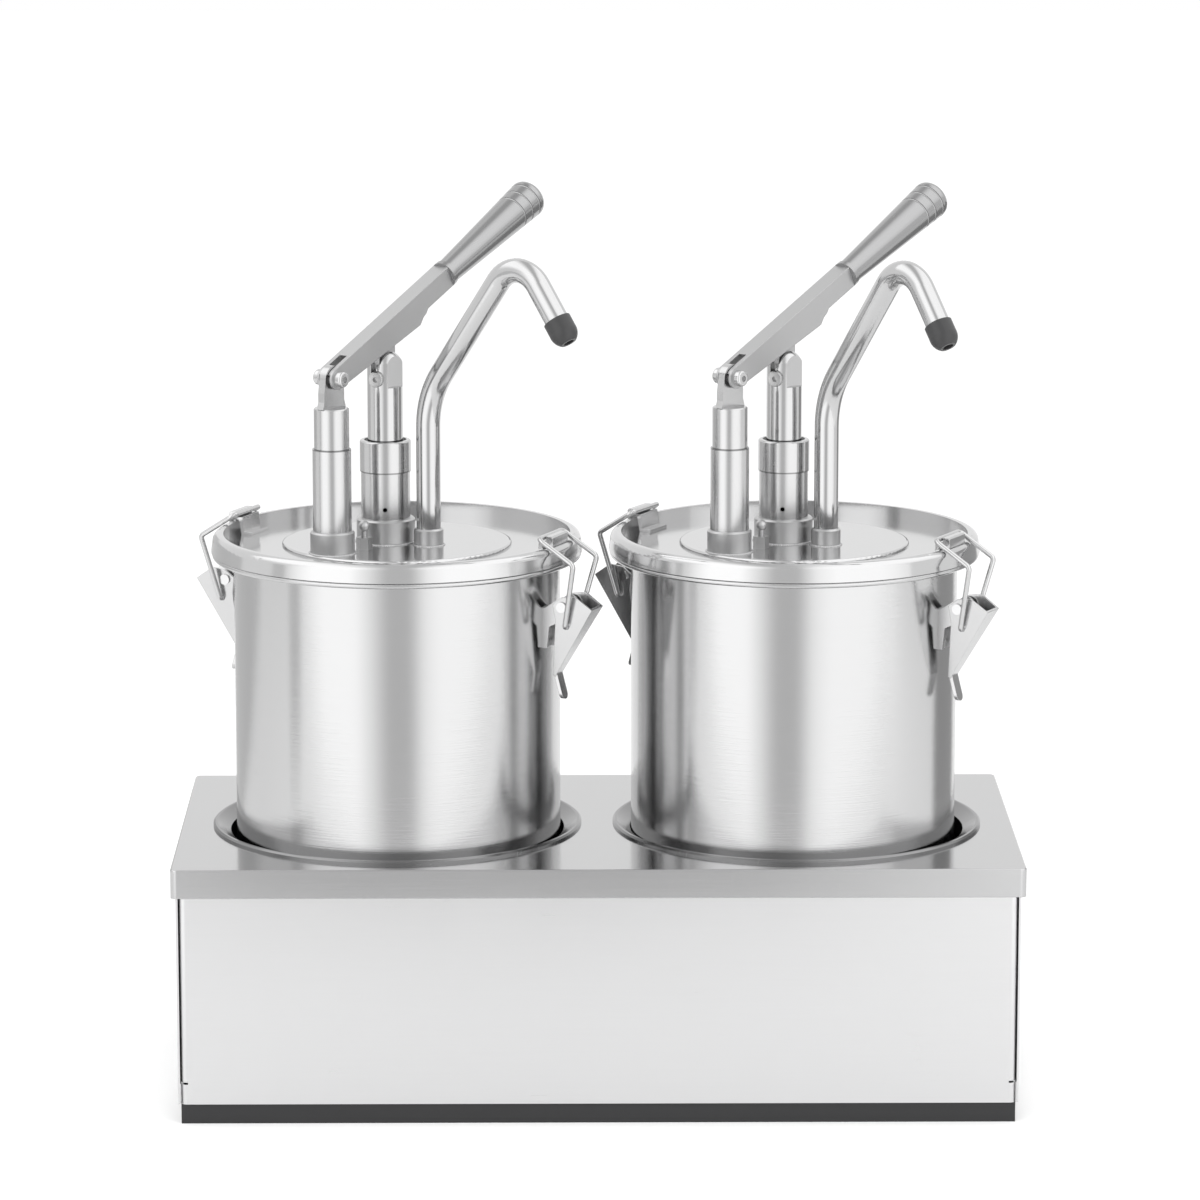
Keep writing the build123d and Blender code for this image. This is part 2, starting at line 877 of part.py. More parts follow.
def foot_valve():
    """Suction foot: a seat for the ball, a chamber, and an arm with the way to the outlet pipe."""
    base = barrel_base - foot_height + foot_spigot
    seat = base + foot_height / 3
    top = barrel_base
    boss = tube_radius + tube_wall + socket_wall
    with BuildPart() as foot:
        with BuildSketch(Plane.XY.offset(base)):
            with Locations((pump_x, pump_y)):
                Circle(foot_radius)
            with Locations((spout_x, spout_y)):
                Circle(boss)
            with BuildLine():
                Line((pump_x, pump_y), (spout_x, spout_y))
            trace(line_width=2 * boss)
        extrude(amount=top - base)
        with BuildSketch(Plane.XY.offset(top)):
            with Locations((pump_x, pump_y)):
                Circle(bore_radius)
        extrude(amount=foot_spigot)
        with BuildSketch(Plane.XY.offset(base)):
            with Locations((pump_x, pump_y)):
                Circle(suction_radius)
        extrude(amount=foot_height + foot_spigot, mode=Mode.SUBTRACT)
        with BuildSketch(Plane.XY.offset(seat)):
            with Locations((pump_x, pump_y)):
                Circle(chamber_radius)
        extrude(amount=foot_height + foot_spigot, mode=Mode.SUBTRACT)
        with BuildSketch(Plane.XY.offset(seat)):
            with Locations((spout_x, spout_y)):
                Circle(tube_radius)
        extrude(amount=foot_height, mode=Mode.SUBTRACT)
        mid = (seat + top) / 2
        reach = Vector(spout_x - pump_x, spout_y - pump_y, 0)
        with BuildSketch(Plane(origin=(pump_x, pump_y, mid), z_dir=reach)):
            Circle(passage_radius)
        extrude(amount=reach.length, mode=Mode.SUBTRACT)
    return foot.part


def valve_ball():
    seat = barrel_base + foot_spigot - foot_height * 2 / 3
    lift = sqrt(ball_radius**2 - suction_radius**2)
    with BuildPart() as ball:
        with Locations((pump_x, pump_y, seat + lift)):
            Sphere(ball_radius)
    return ball.part


def delivery_tube():
    """Pipe from the foot valve to the lid, widened at the top for the spout."""
    base = barrel_base + foot_spigot - foot_height * 2 / 3
    socket_bore = tube_radius + spout_fit
    socket_base = disc_under - socket_length
    return turned(
        [
            (tube_radius - tube_wall, base),
            (tube_radius, base),
            (tube_radius, socket_base),
            (socket_bore + socket_wall, socket_base),
            (socket_bore + socket_wall, disc_under),
            (socket_bore, disc_under),
            (socket_bore, socket_base + tube_wall),
            (tube_radius - tube_wall, socket_base + tube_wall),
        ],
        spout_x,
        spout_y,
    )


# Spout pieces
def spout_path(yaw):
    """Route of the spout's centre line: up, over in a swan neck and down to the nozzle."""
    plane = upright(spout_x, spout_y, yaw)
    flat = [
        (0, disc_under - spout_insert),
        (0, disc_top + spout_corner_height),
        (spout_top_reach, disc_top + spout_top_height),
        (spout_end_reach, disc_top + spout_end_height),
    ]
    points = [plane.from_local_coords(Vector(*p)) for p in flat]
    return FilletPolyline(*points, radius=[spout_low_bend, spout_top_bend])


def spout_tube(yaw):
    base = disc_under - spout_insert
    with BuildPart() as spout:
        with BuildLine():
            spout_path(yaw)
        with BuildSketch(Plane(origin=(spout_x, spout_y, base), z_dir=UP)):
            Circle(tube_radius)
            Circle(tube_radius - tube_wall, mode=Mode.SUBTRACT)
        sweep()
    return spout.part


def nozzle(yaw):
    """Rubber nozzle pushed over the spout's end, with a rounded shoulder and a small mouth."""
    run = Vector(spout_end_reach - spout_top_reach, spout_end_height - spout_top_height)
    along = run.normalized()
    plane = upright(spout_x, spout_y, yaw)
    start = Vector(spout_end_reach, disc_top + spout_end_height) - along * nozzle_grip
    origin = plane.from_local_coords(start)
    tip = plane.from_local_coords(start + along)
    axis = tip - origin
    side = Plane(origin=origin, x_dir=plane.z_dir, z_dir=plane.z_dir.cross(axis))
    with BuildPart() as rubber:
        with BuildSketch(side) as section:
            with BuildLine():
                Polyline(
                    (nozzle_tip_radius, nozzle_length),
                    (nozzle_hole_radius, nozzle_length),
                    (nozzle_hole_radius, nozzle_grip),
                    (tube_radius, nozzle_grip),
                    (tube_radius, 0),
                    (nozzle_radius, 0),
                    (nozzle_radius, nozzle_grip),
                )
                shoulder = nozzle_length - nozzle_grip
                ThreePointArc(
                    (nozzle_radius, nozzle_grip),
                    (
                        (nozzle_radius + nozzle_tip_radius) / 2 + nozzle_swell,
                        nozzle_grip + shoulder / 2 + nozzle_swell,
                    ),
                    (nozzle_tip_radius, nozzle_length),
                )
            make_face()
        revolve(axis=Axis(origin, axis))
    return rubber.part


# Lever pieces
def lever_post():
    """Stepped post with a milled tongue that the lever straddles."""
    plane = upright(post_x, post_y, lever_azimuth)
    with BuildPart() as post:
        with BuildSketch(Plane.XY.offset(disc_top)):
            with Locations((post_x, post_y)):
                Circle(post_radius)
        extrude(amount=post_step)
        with BuildSketch(Plane.XY.offset(disc_top + post_step)):
            with Locations((post_x, post_y)):
                Circle(post_neck_radius)
        extrude(amount=post_ledge - post_step)
        chamfer(post.edges().filter_by(GeomType.CIRCLE).group_by(Axis.Z)[-1], post_radius / 20)
        with BuildSketch(plane):
            with BuildLine():
                Polyline(
                    (-post_neck_radius, disc_top + post_ledge),
                    (post_neck_radius, disc_top + post_ledge),
                    (tongue_half_width, disc_top + post_ledge + tongue_shoulder),
                    (tongue_half_width, pivot_z - tongue_top_radius),
                    (tongue_top_radius, pivot_z),
                    (-tongue_top_radius, pivot_z),
                    (-tongue_half_width, pivot_z - tongue_top_radius),
                    (-tongue_half_width, disc_top + post_ledge + tongue_shoulder),
                    close=True,
                )
            make_face()
            with Locations((0, pivot_z)):
                Circle(tongue_top_radius)
        extrude(amount=tongue_thickness / 2, both=True)
        with BuildSketch(plane):
            with Locations((0, pivot_z)):
                Circle(pivot_radius + pin_fit)
        extrude(amount=post_radius, both=True, mode=Mode.SUBTRACT)
    return post.part


def lever_arm():
    """Inverted channel: a web on top with a slot for the tongue, walls deeper near the pump."""
    plane = lever_plane()
    half = arm_height / 2
    end = grip_start
    with BuildPart() as arm:
        with BuildSketch(plane) as side:
            with BuildLine():
                Polyline(
                    (0, half),
                    (end, half),
                    (end, -half),
                    (arm_deep_length + 2 * arm_deep_drop, -half),
                    (arm_deep_length + 1.5 * arm_deep_drop, -half - arm_deep_drop / 3),
                    (arm_deep_length + 0.8 * arm_deep_drop, -half - arm_deep_drop / 2),
                    (arm_deep_length, -half - arm_deep_drop),
                    (0, -half),
                    close=True,
                )
            make_face()
            Circle(half)
        extrude(amount=arm_width / 2, both=True)
        with BuildSketch(plane):
            with Locations((-arm_height, half - arm_sheet)):
                Rectangle(
                    end + 2 * arm_height,
                    2 * arm_height,
                    align=(Align.MIN, Align.MAX),
                )
        extrude(amount=arm_width / 2 - arm_sheet, both=True, mode=Mode.SUBTRACT)
        with BuildSketch(plane):
            with Locations((-arm_slot_back, 0)):
                Rectangle(
                    arm_slot_back + arm_slot_front,
                    arm_height,
                    align=(Align.MIN, Align.MIN),
                )
        extrude(amount=arm_slot_width / 2, both=True, mode=Mode.SUBTRACT)
        with BuildSketch(plane):
            Circle(pivot_radius)
        extrude(amount=arm_width, both=True, mode=Mode.SUBTRACT)
        with BuildSketch(plane):
            with Locations((pin_u, pin_v)):
                Circle(drive_pin_radius)
        extrude(amount=arm_width / 2 - drive_pin_cover, both=True, mode=Mode.SUBTRACT)
    return arm.part


def lever_pins():
    """Pivot pin with a socketed button head on each side, and the plain drive pin."""
    plane = lever_plane()
    face = arm_width / 2
    with BuildPart() as pins:
        with BuildSketch(plane):
            Circle(pivot_radius)
        extrude(amount=face, both=True)
        for side in (-1, 1):
            with BuildSketch(plane.offset(side * face)):
                Circle(pin_head_radius)
            extrude(amount=side * pin_head_height)
        rims = pins.edges().filter_by(GeomType.CIRCLE).sort_by(Axis(plane.origin, plane.z_dir))
        fillet([rims[0], rims[-1]], pin_head_round)
        for side in (-1, 1):
            with BuildSketch(plane.offset(side * (face + pin_head_height))):
                RegularPolygon(pin_socket_radius, 6)
            extrude(amount=-side * pin_socket_depth, mode=Mode.SUBTRACT)
        with BuildSketch(plane):
            with Locations((pin_u, pin_v)):
                Circle(drive_pin_radius)
        extrude(amount=face - drive_pin_cover, both=True)
    return pins.part


def lever_grip():
    """Tapered round grip with a lip, grooves near its rounded end and a spigot in the arm."""
    plane = lever_plane()
    slope = (grip_large_radius - grip_small_radius) / (grip_end - grip_start)
    with BuildPart() as grip:
        with BuildSketch(plane) as section:
            with BuildLine():
                Polyline(
                    (grip_start - spigot_length, 0),
                    (grip_start - spigot_length, spigot_radius),
                    (grip_start, spigot_radius),
                    (grip_start, grip_small_radius + grip_lip),
                    (grip_start + grip_lip_length, grip_small_radius + grip_lip),
                    (grip_start + grip_lip_length, grip_small_radius),
                    (grip_end, grip_large_radius),
                    (grip_end, 0),
                    close=True,
                )
            make_face()
            for i in range(groove_count):
                back = groove_pitch * (i + 1)
                with Locations((grip_end - back, grip_large_radius - slope * back)):
                    Circle(groove_depth, mode=Mode.SUBTRACT)
        revolve(axis=Axis(plane.origin, plane.x_dir))
        end_edge = grip.edges().filter_by(GeomType.CIRCLE).sort_by(Axis(plane.origin, plane.x_dir))[-1]
        fillet(end_edge, grip_end_round)
    return grip.part


# Latch pieces
def latch_plane(turn):
    return upright(0, 0, turn)


def latch_turns():
    return (latch_front_turn, latch_back_turn)


def lid_keepers():
    """Two bent plates on the lid's rim, each with a hump outside the bail's bar."""
    shelf = bail_bar[1] - bail_wire_radius - keeper_bar_gap
    foot_end = lip_inner_radius - keeper_foot_gap
    hump = bail_bar[0] + bail_wire_radius + keeper_bar_gap
    with BuildPart() as keepers:
        for turn in latch_turns():
            with BuildSketch(latch_plane(turn)):
                with BuildLine():
                    Polyline(
                        (foot_end - keeper_foot, lid_floor),
                        (foot_end, lid_floor),
                        (foot_end + keeper_sheet, shelf - keeper_sheet),
                        (hump, shelf - keeper_sheet),
                        (hump, lid_top),
                        (hump + keeper_hump_width, lid_top),
                        (hump + keeper_hump_width, bail_bar[1]),
                        (hump + keeper_hump_width - keeper_sheet / 2, bail_bar[1] + keeper_hump_rise),
                        (hump, bail_bar[1] + keeper_hump_rise),
                        (hump, shelf),
                        (foot_end - keeper_sheet / 2, shelf),
                        (foot_end - keeper_sheet, lid_floor + keeper_sheet),
                        (foot_end - keeper_foot, lid_floor + keeper_sheet),
                        close=True,
                    )
                make_face()
            extrude(amount=keeper_half_width, both=True)
    return keepers.part


def latch_brackets():
    """Two channel brackets on the pot's wall whose ears carry the latch pins."""
    wall = pot_radius
    px, pz = latch_pivot
    low = pz - bracket_length
    inner = bracket_half_width - bracket_sheet
    with BuildPart() as brackets:
        for turn in latch_turns():
            plane = latch_plane(turn)
            with BuildSketch(plane):
                with BuildLine():
                    Polyline(
                        (wall - bracket_sheet, low),
                        (wall + 2 * bracket_sheet, low),
                        (wall + 3 * bracket_sheet, pz - bracket_length / 2),
                        (px - bracket_ear_radius, pz - 2 * bracket_ear_radius),
                        (px, pz - bracket_ear_radius),
                        (px, pz + bracket_ear_radius / 2),
                        (px - 0.65 * bracket_ear_radius, pz + 0.75 * bracket_ear_radius),
                        (wall + bracket_sheet, pz - bracket_top_drop),
                        (wall - bracket_sheet, pz - bracket_top_drop),
                        close=True,
                    )
                make_face()
                with Locations((px, pz)):
                    Circle(bracket_ear_radius)
            extrude(amount=bracket_half_width, both=True)
            with BuildSketch(plane):
                with Locations((wall + bracket_sheet, low - bracket_sheet)):
                    Rectangle(lever_corner_out * 2, 2 * bracket_length, align=(Align.MIN, Align.MIN))
            extrude(amount=inner, both=True, mode=Mode.SUBTRACT)
            with BuildSketch(plane):
                with Locations((px, pz)):
                    Circle(latch_pin_radius)
            extrude(amount=2 * bracket_half_width, both=True, mode=Mode.SUBTRACT)
        with BuildSketch(Plane.XY.offset(pot_base)):
            Circle(pot_radius)
        extrude(amount=pot_height, mode=Mode.SUBTRACT)
    return brackets.part


def latch_pins():
    """Two rivets through the bracket ears and the latch levers' walls."""
    shank = lever_top_half_width + latch_pin_gap
    with BuildPart() as pins:
        for turn in latch_turns():
            plane = latch_plane(turn)
            with BuildSketch(plane):
                with Locations(latch_pivot):
                    Circle(latch_pin_radius)
            extrude(amount=shank, both=True)
            for side in (-1, 1):
                with BuildSketch(plane.offset(side * shank)):
                    with Locations(latch_pivot):
                        Circle(latch_pin_head_radius)
                extrude(amount=side * latch_pin_head_height)
    return pins.part


def lever_wedge(turn, trim):
    """Tapered block that gives a latch lever its width, wide at the top and narrow below."""
    c, s = cos(radians(turn)), sin(radians(turn))
    facing = Plane(origin=(0, 0, 0), x_dir=(-s, c, 0), z_dir=(c, s, 0))
    slope = (lever_top_half_width - lever_low_half_width) / lever_length
    top = latch_pivot[1] + 2 * lever_crest_rise
    low = lever_foot[1] - lever_sheet
    wide = lever_top_half_width + slope * (top - latch_pivot[1]) - trim
    narrow = lever_low_half_width - slope * lever_sheet - trim
    with BuildPart() as wedge:
        with BuildSketch(facing):
            with BuildLine():
                Polyline((-narrow, low), (narrow, low), (wide, top), (-wide, top), close=True)
            make_face()
        extrude(amount=2 * pot_radius)
    return wedge.part


def lever_cavity(turn):
    """Space inside a latch lever, between its walls and behind its web."""
    web = (Vector(*lever_corner) - Vector(*lever_foot)).normalized()
    inward = Vector(-web.Y, web.X)
    corner = Vector(*lever_corner) + inward * lever_sheet + web * lever_corner_out
    foot = Vector(*lever_foot) + inward * lever_sheet - web * lever_sheet
    back = pot_radius / 2
    block = plate(
        latch_plane(turn),
        [
            (foot.X, foot.Y),
            (corner.X, corner.Y),
            (back, corner.Y),
            (back, foot.Y),
        ],
        2 * lever_top_half_width,
    )
    return block & lever_wedge(turn, lever_sheet)


def latch_lever(turn):
    """Tapered channel lever with a flared finger tab."""
    px, pz = latch_pivot
    foot_x, foot_z = lever_foot
    plane = latch_plane(turn)
    outline = plate(
        plane,
        [
            (foot_x - lever_sheet, foot_z),
            (foot_x, foot_z - lever_sheet / 2),
            lever_corner,
            (px + lever_crest_out, pz + lever_crest_rise),
            (px, pz + lever_back),
            (px - lever_back, pz + lever_sheet),
            (px - lever_back + lever_sheet, pz - lever_length / 5),
        ],
        2 * lever_top_half_width,
    )
    walls = (outline & lever_wedge(turn, 0.0)) - lever_cavity(turn)
    c, s = cos(radians(turn)), sin(radians(turn))
    facing = Plane(origin=(0, 0, 0), x_dir=(-s, c, 0), z_dir=(c, s, 0))
    with BuildPart() as tab:
        with BuildSketch(plane):
            with BuildLine():
                Polyline(
                    (foot_x - lever_sheet, foot_z + lever_sheet),
                    (foot_x + lever_sheet / 2, foot_z + lever_sheet),
                    (foot_x + finger_flare + lever_sheet / 2, foot_z - finger_length),
                    (foot_x + finger_flare - lever_sheet, foot_z - finger_length),
                    close=True,
                )
            make_face()
        extrude(amount=lever_low_half_width - finger_round / 6, both=True)
        with BuildSketch(facing) as mask:
            with Locations((0, foot_z - finger_length)):
                Rectangle(
                    2 * lever_low_half_width - finger_round / 3,
                    finger_length + 3 * lever_sheet,
                    align=(Align.CENTER, Align.MIN),
                )
            fillet(mask.vertices().group_by(Axis.Y)[0], finger_round)
        extrude(amount=2 * pot_radius, mode=Mode.INTERSECT)
    with BuildPart() as lever:
        add(walls)
        add(tab.part)
        with BuildSketch(plane):
            with Locations(latch_pivot):
                Circle(latch_pin_radius + latch_fit)
            with Locations(bail_pivot):
                Circle(bail_wire_radius + latch_fit)
        extrude(amount=2 * lever_top_half_width, both=True, mode=Mode.SUBTRACT)
    return lever.part


def latch_bail(turn):
    """Wire loop from the lever's walls over the rim to the bar behind the keeper's hump."""
    c, s = cos(radians(turn)), sin(radians(turn))
    spots = [
        (bail_pivot, bail_foot_half_width - bail_end_depth),
        (bail_pivot, bail_foot_half_width),
        (bail_shoulder, bail_half_width),
        (bail_bar, bail_half_width),
        (bail_bar, -bail_half_width),
        (bail_shoulder, -bail_half_width),
        (bail_pivot, -bail_foot_half_width),
        (bail_pivot, bail_end_depth - bail_foot_half_width),
    ]
    points = [(r * c - t * s, r * s + t * c, z) for (r, z), t in spots]
    with BuildPart() as bail:
        with BuildLine() as wire:
            FilletPolyline(*points, radius=[bail_foot_bend] + 4 * [bail_bend] + [bail_foot_bend])
        with BuildSketch(Plane(origin=wire.line @ 0, z_dir=wire.line % 0)):
            Circle(bail_wire_radius)
        sweep()
    return bail.part


def write(shape, name):
    shape.label = name
    export_step(shape, f"parts/{name}.step")


def write_stand():
    write(top_cover(), "top_cover")
    write(well_ring(-well_pitch / 2), "well_ring_left")
    write(well_ring(well_pitch / 2), "well_ring_right")
    write(front_panel(), "front_panel")
    write(side_wrap(), "side_wrap")
    write(base_tray(), "base_tray")
    write(plinth(), "plinth")
    write(base_screws(), "base_screws")


def unit_pieces(yaw):
    """All pieces of one unit about the pot's own axis."""
    return {
        "pot": pot(),
        "pot_gasket": pot_gasket(),
        "lid": lid(),
        "lid_fittings": lid_fittings(),
        "lid_keepers": lid_keepers(),
        "latch_brackets": latch_brackets(),
        "latch_pins": latch_pins(),
        "latch_lever_front": latch_lever(latch_front_turn),
        "latch_lever_back": latch_lever(latch_back_turn),
        "latch_bail_front": latch_bail(latch_front_turn),
        "latch_bail_back": latch_bail(latch_back_turn),
        "pump_barrel": pump_barrel(),
        "gland_nut": gland_nut(),
        "piston_rod": piston_rod() - screw_hole(),
        "drive_blade": drive_blade(),
        "head_screw": head_screw(),
        "return_spring": return_spring(),
        "piston": piston(),
        "foot_valve": Part([foot_valve(), valve_ball()]),
        "delivery_tube": delivery_tube(),
        "spout_tube": spout_tube(yaw),
        "nozzle": nozzle(yaw),
        "lever_post": lever_post(),
        "lever_arm": lever_arm(),
        "lever_pins": lever_pins(),
        "lever_grip": lever_grip(),
    }


def write_unit(side, x, turn, yaw):
    place = Location((x, well_y, 0), (0, 0, turn))
    for name, shape in unit_pieces(yaw).items():
        write(place * shape, f"{name}_{side}")


os.makedirs("parts", exist_ok=True)
write_stand()
write_unit("left", left_shift - well_pitch / 2, left_turn, left_yaw)
write_unit("right", right_shift + well_pitch / 2, right_turn, right_yaw)
print("stroke", round(stroke, 3), "lid top", round(lid_top, 3))
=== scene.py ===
import json
import math

import bpy
import numpy as np
from bpy.props import FloatProperty, FloatVectorProperty, IntProperty, PointerProperty
from bpy.types import Operator, Panel, PropertyGroup
from mathutils import Matrix, Vector


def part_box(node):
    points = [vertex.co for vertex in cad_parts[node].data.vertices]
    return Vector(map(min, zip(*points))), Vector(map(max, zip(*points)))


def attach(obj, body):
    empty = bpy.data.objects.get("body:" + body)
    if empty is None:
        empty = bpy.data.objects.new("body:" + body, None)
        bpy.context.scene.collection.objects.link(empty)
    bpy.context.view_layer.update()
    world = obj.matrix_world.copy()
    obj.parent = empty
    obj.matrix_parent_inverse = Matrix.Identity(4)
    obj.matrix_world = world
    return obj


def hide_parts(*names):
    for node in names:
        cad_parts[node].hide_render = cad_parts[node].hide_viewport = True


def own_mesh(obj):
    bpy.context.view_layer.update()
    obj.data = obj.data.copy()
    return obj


bl_info = {
    "name": "Sauce dispenser",
    "version": (1, 0, 0),
    "blender": (4, 5, 0),
    "location": "View3D > Sidebar > Sauce dispenser",
    "description": "Steel finishes, weld seams and studio for a two-pot sauce dispenser",
    "category": "Object",
}

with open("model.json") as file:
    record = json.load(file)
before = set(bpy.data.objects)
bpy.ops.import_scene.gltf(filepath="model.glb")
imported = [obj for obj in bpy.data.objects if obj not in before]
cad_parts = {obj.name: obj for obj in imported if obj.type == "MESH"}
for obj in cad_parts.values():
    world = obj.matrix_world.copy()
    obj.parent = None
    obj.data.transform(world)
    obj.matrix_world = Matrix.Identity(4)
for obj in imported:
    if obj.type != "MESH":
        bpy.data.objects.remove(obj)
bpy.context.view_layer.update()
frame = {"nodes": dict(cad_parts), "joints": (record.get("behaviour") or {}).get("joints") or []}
SIDES = ("left", "right")
LATCHES = ("front", "back")

# Colours that no setting changes
WHITE = (1.0, 1.0, 1.0, 1.0)
BLACK = (0.0, 0.0, 0.0, 1.0)
HIDDEN_STEEL = (0.5, 0.5, 0.5)

# Steel: usual height of the grain in metres, and how fine its clouds and smudges are
FINE_GRAIN = 0.00001
CLOUD_SCALE = 22.0
SMUDGE_SCALE = 61.0

# Hairline scratches: stretch of their noise, its band that shows, and where they gather
SCRATCH_STRETCH = (90.0, 140.0, 55.0)
SCRATCH_BAND = 0.0016
SCRATCH_PATCHES = 0.56

# Painted shade: a dark band painted into the colour round a turned piece, where shade falls at a
# joint or a step; its height in metres and its strength
PAINTED_SHADE_BAND = 0.0009
PAINTED_SHADE_STRENGTH = 0.55

# Return spring: facets round its wire and steps in one turn
SPRING_SIDES = 10
SPRING_STEPS = 36

# Weld drops: facets of one drop, and the least and most that its size varies
DROP_SEGMENTS = 10
DROP_RINGS = 6
DROP_LEAST = 0.88
DROP_MOST = 1.1

# Weld seams: steps of a ring, length of a ripple over its pitch, and set-out over its width
RING_STEPS = 64
RIPPLE_OVERLAP = 1.8
SEAM_SET_OUT = 0.2

# Spot welds: drops below the pivot and steps to each side in metres, and height over width
SPOT_DROPS = (0.012, 0.018)
SPOT_STEPS = (-0.002, 0.002)
SPOT_RISE = 0.25

# Floor: half its length and its front and back edges in metres, and the glow that
# the camera, reflections and glass see, with what the camera alone sees on top
FLOOR_HALF = 4.0
FLOOR_FRONT = -0.525
FLOOR_BACK = 6.0
FLOOR_GLOW = 0.22
FLOOR_GLOW_IN_SIGHT = 0.08

# Light tent: half its width, its wall's place, foot and top, and its roof's far edge
TENT_HALF = 4.0
TENT_WALL = -1.2
TENT_FOOT = -1.2
TENT_TOP = 1.6
TENT_BACK = 0.9

# Tone of the tent's cloth at each place across it, metres
TENT_TONES = (
    (-3.2, 0.6), (-1.6, 0.97), (-0.7, 0.97), (-0.43, 0.72), (-0.2, 0.42), (0.1, 0.42),
    (0.33, 0.82), (0.6, 0.94), (1.6, 0.92), (3.2, 0.75),
)

# Grey cards round the object: name, tone, and where each starts and ends on the floor
CARD_HEIGHT = 0.4
CARDS = (
    ("card_left", 0.64, (-1.6, 0.45), (-0.29, 0.45)),
    ("card_side", 0.72, (-0.9, -0.33), (-0.9, -0.19)),
    ("card_right", 0.36, (0.42, 0.45), (0.62, 0.18)),
)

# Soft boxes: name, place and width, with the height and the target that they share
SOFT_BOXES = (
    ("soft box left", (-0.95, -1.0, 0.35), 1.25),
    ("soft box right", (1.05, -0.9, 0.35), 1.45),
)
SOFT_BOX_HEIGHT = 1.9
SOFT_BOX_TARGET = (0, 0, 0.15)


# Shader maths
class Wire:
    """Output socket of a shader node that can be used in sums."""

    def __init__(self, tree, socket):
        self.tree = tree
        self.socket = socket

    def maths(self, operation, *values):
        return self.tree.node("ShaderNodeMath", {"operation": operation}, values)

    def __add__(self, other):
        return self.maths("ADD", self, other)

    def __radd__(self, other):
        return self.maths("ADD", other, self)

    def __sub__(self, other):
        return self.maths("SUBTRACT", self, other)

    def __rsub__(self, other):
        return self.maths("SUBTRACT", other, self)

    def __mul__(self, other):
        return self.maths("MULTIPLY", self, other)

    def __rmul__(self, other):
        return self.maths("MULTIPLY", other, self)

    def __truediv__(self, other):
        return self.maths("DIVIDE", self, other)

    def __rtruediv__(self, other):
        return self.maths("DIVIDE", other, self)

    def __gt__(self, other):
        return self.maths("GREATER_THAN", self, other)

    def __lt__(self, other):
        return self.maths("LESS_THAN", self, other)

    def __abs__(self):
        return self.maths("ABSOLUTE", self)


class Shader:
    """Node tree of one material or of the world."""

    def __init__(self, owner):
        owner.use_nodes = True
        self.nodes = owner.node_tree.nodes
        self.links = owner.node_tree.links
        self.nodes.clear()

    def node(self, kind, settings=None, values=(), output=0):
        """Adds a node: its settings first, then a value or a wire for each socket."""
        made = self.nodes.new(kind)
        for name, value in (settings or {}).items():
            if name == "stops":
                self.set_stops(made.color_ramp, value)
            else:
                setattr(made, name, value)
        pairs = values.items() if isinstance(values, dict) else enumerate(values)
        for key, value in pairs:
            self.feed(self.find(made.inputs, key), value)
        if made.outputs:
            return Wire(self, self.find(made.outputs, output))

    def find(self, sockets, key):
        """Socket in use, by its name or by its place among those in use."""
        usable = [s for s in sockets if s.enabled]
        if isinstance(key, int):
            return usable[key]
        return next(s for s in usable if s.name == key)

    def feed(self, socket, value):
        if isinstance(value, Wire):
            self.links.new(value.socket, socket)
        else:
            socket.default_value = value

    def set_stops(self, ramp, stops):
        while len(ramp.elements) < len(stops):
            ramp.elements.new(1.0)
        for element, (place, tone) in zip(ramp.elements, stops):
            element.position = place
            element.color = (tone, tone, tone, 1.0)

    def coordinates(self):
        return self.node("ShaderNodeTexCoord", None, (), "Object")

    def noise(self, place, scale, detail=3.0, roughness=0.55):
        values = {"Vector": place, "Scale": scale, "Detail": detail, "Roughness": roughness}
        return self.node("ShaderNodeTexNoise", None, values)

    def stretched(self, place, scales):
        return self.node("ShaderNodeVectorMath", {"operation": "MULTIPLY"}, [place, scales])

    def blended(self, factor, first, second):
        settings = {"data_type": "RGBA"}
        return self.node("ShaderNodeMix", settings, {"Factor": factor, "A": first, "B": second})

    def clamped(self, value, low, high):
        return self.node("ShaderNodeClamp", None, [value, low, high])

    def finish(self, surface):
        """Ends a material in one shader with these values."""
        shader = self.node("ShaderNodeBsdfPrincipled", None, surface)
        self.node("ShaderNodeOutputMaterial", None, {"Surface": shader})


def rgba(colour, gain=1.0):
    """Colour with its alpha, made brighter or darker."""
    return tuple(min(1.0, c * gain) for c in colour) + (1.0,)


def new_material(name):
    """Material by this name, in place of one from an earlier run."""
    old = bpy.data.materials.get(name)
    if old:
        bpy.data.materials.remove(old)
    return bpy.data.materials.new(name)


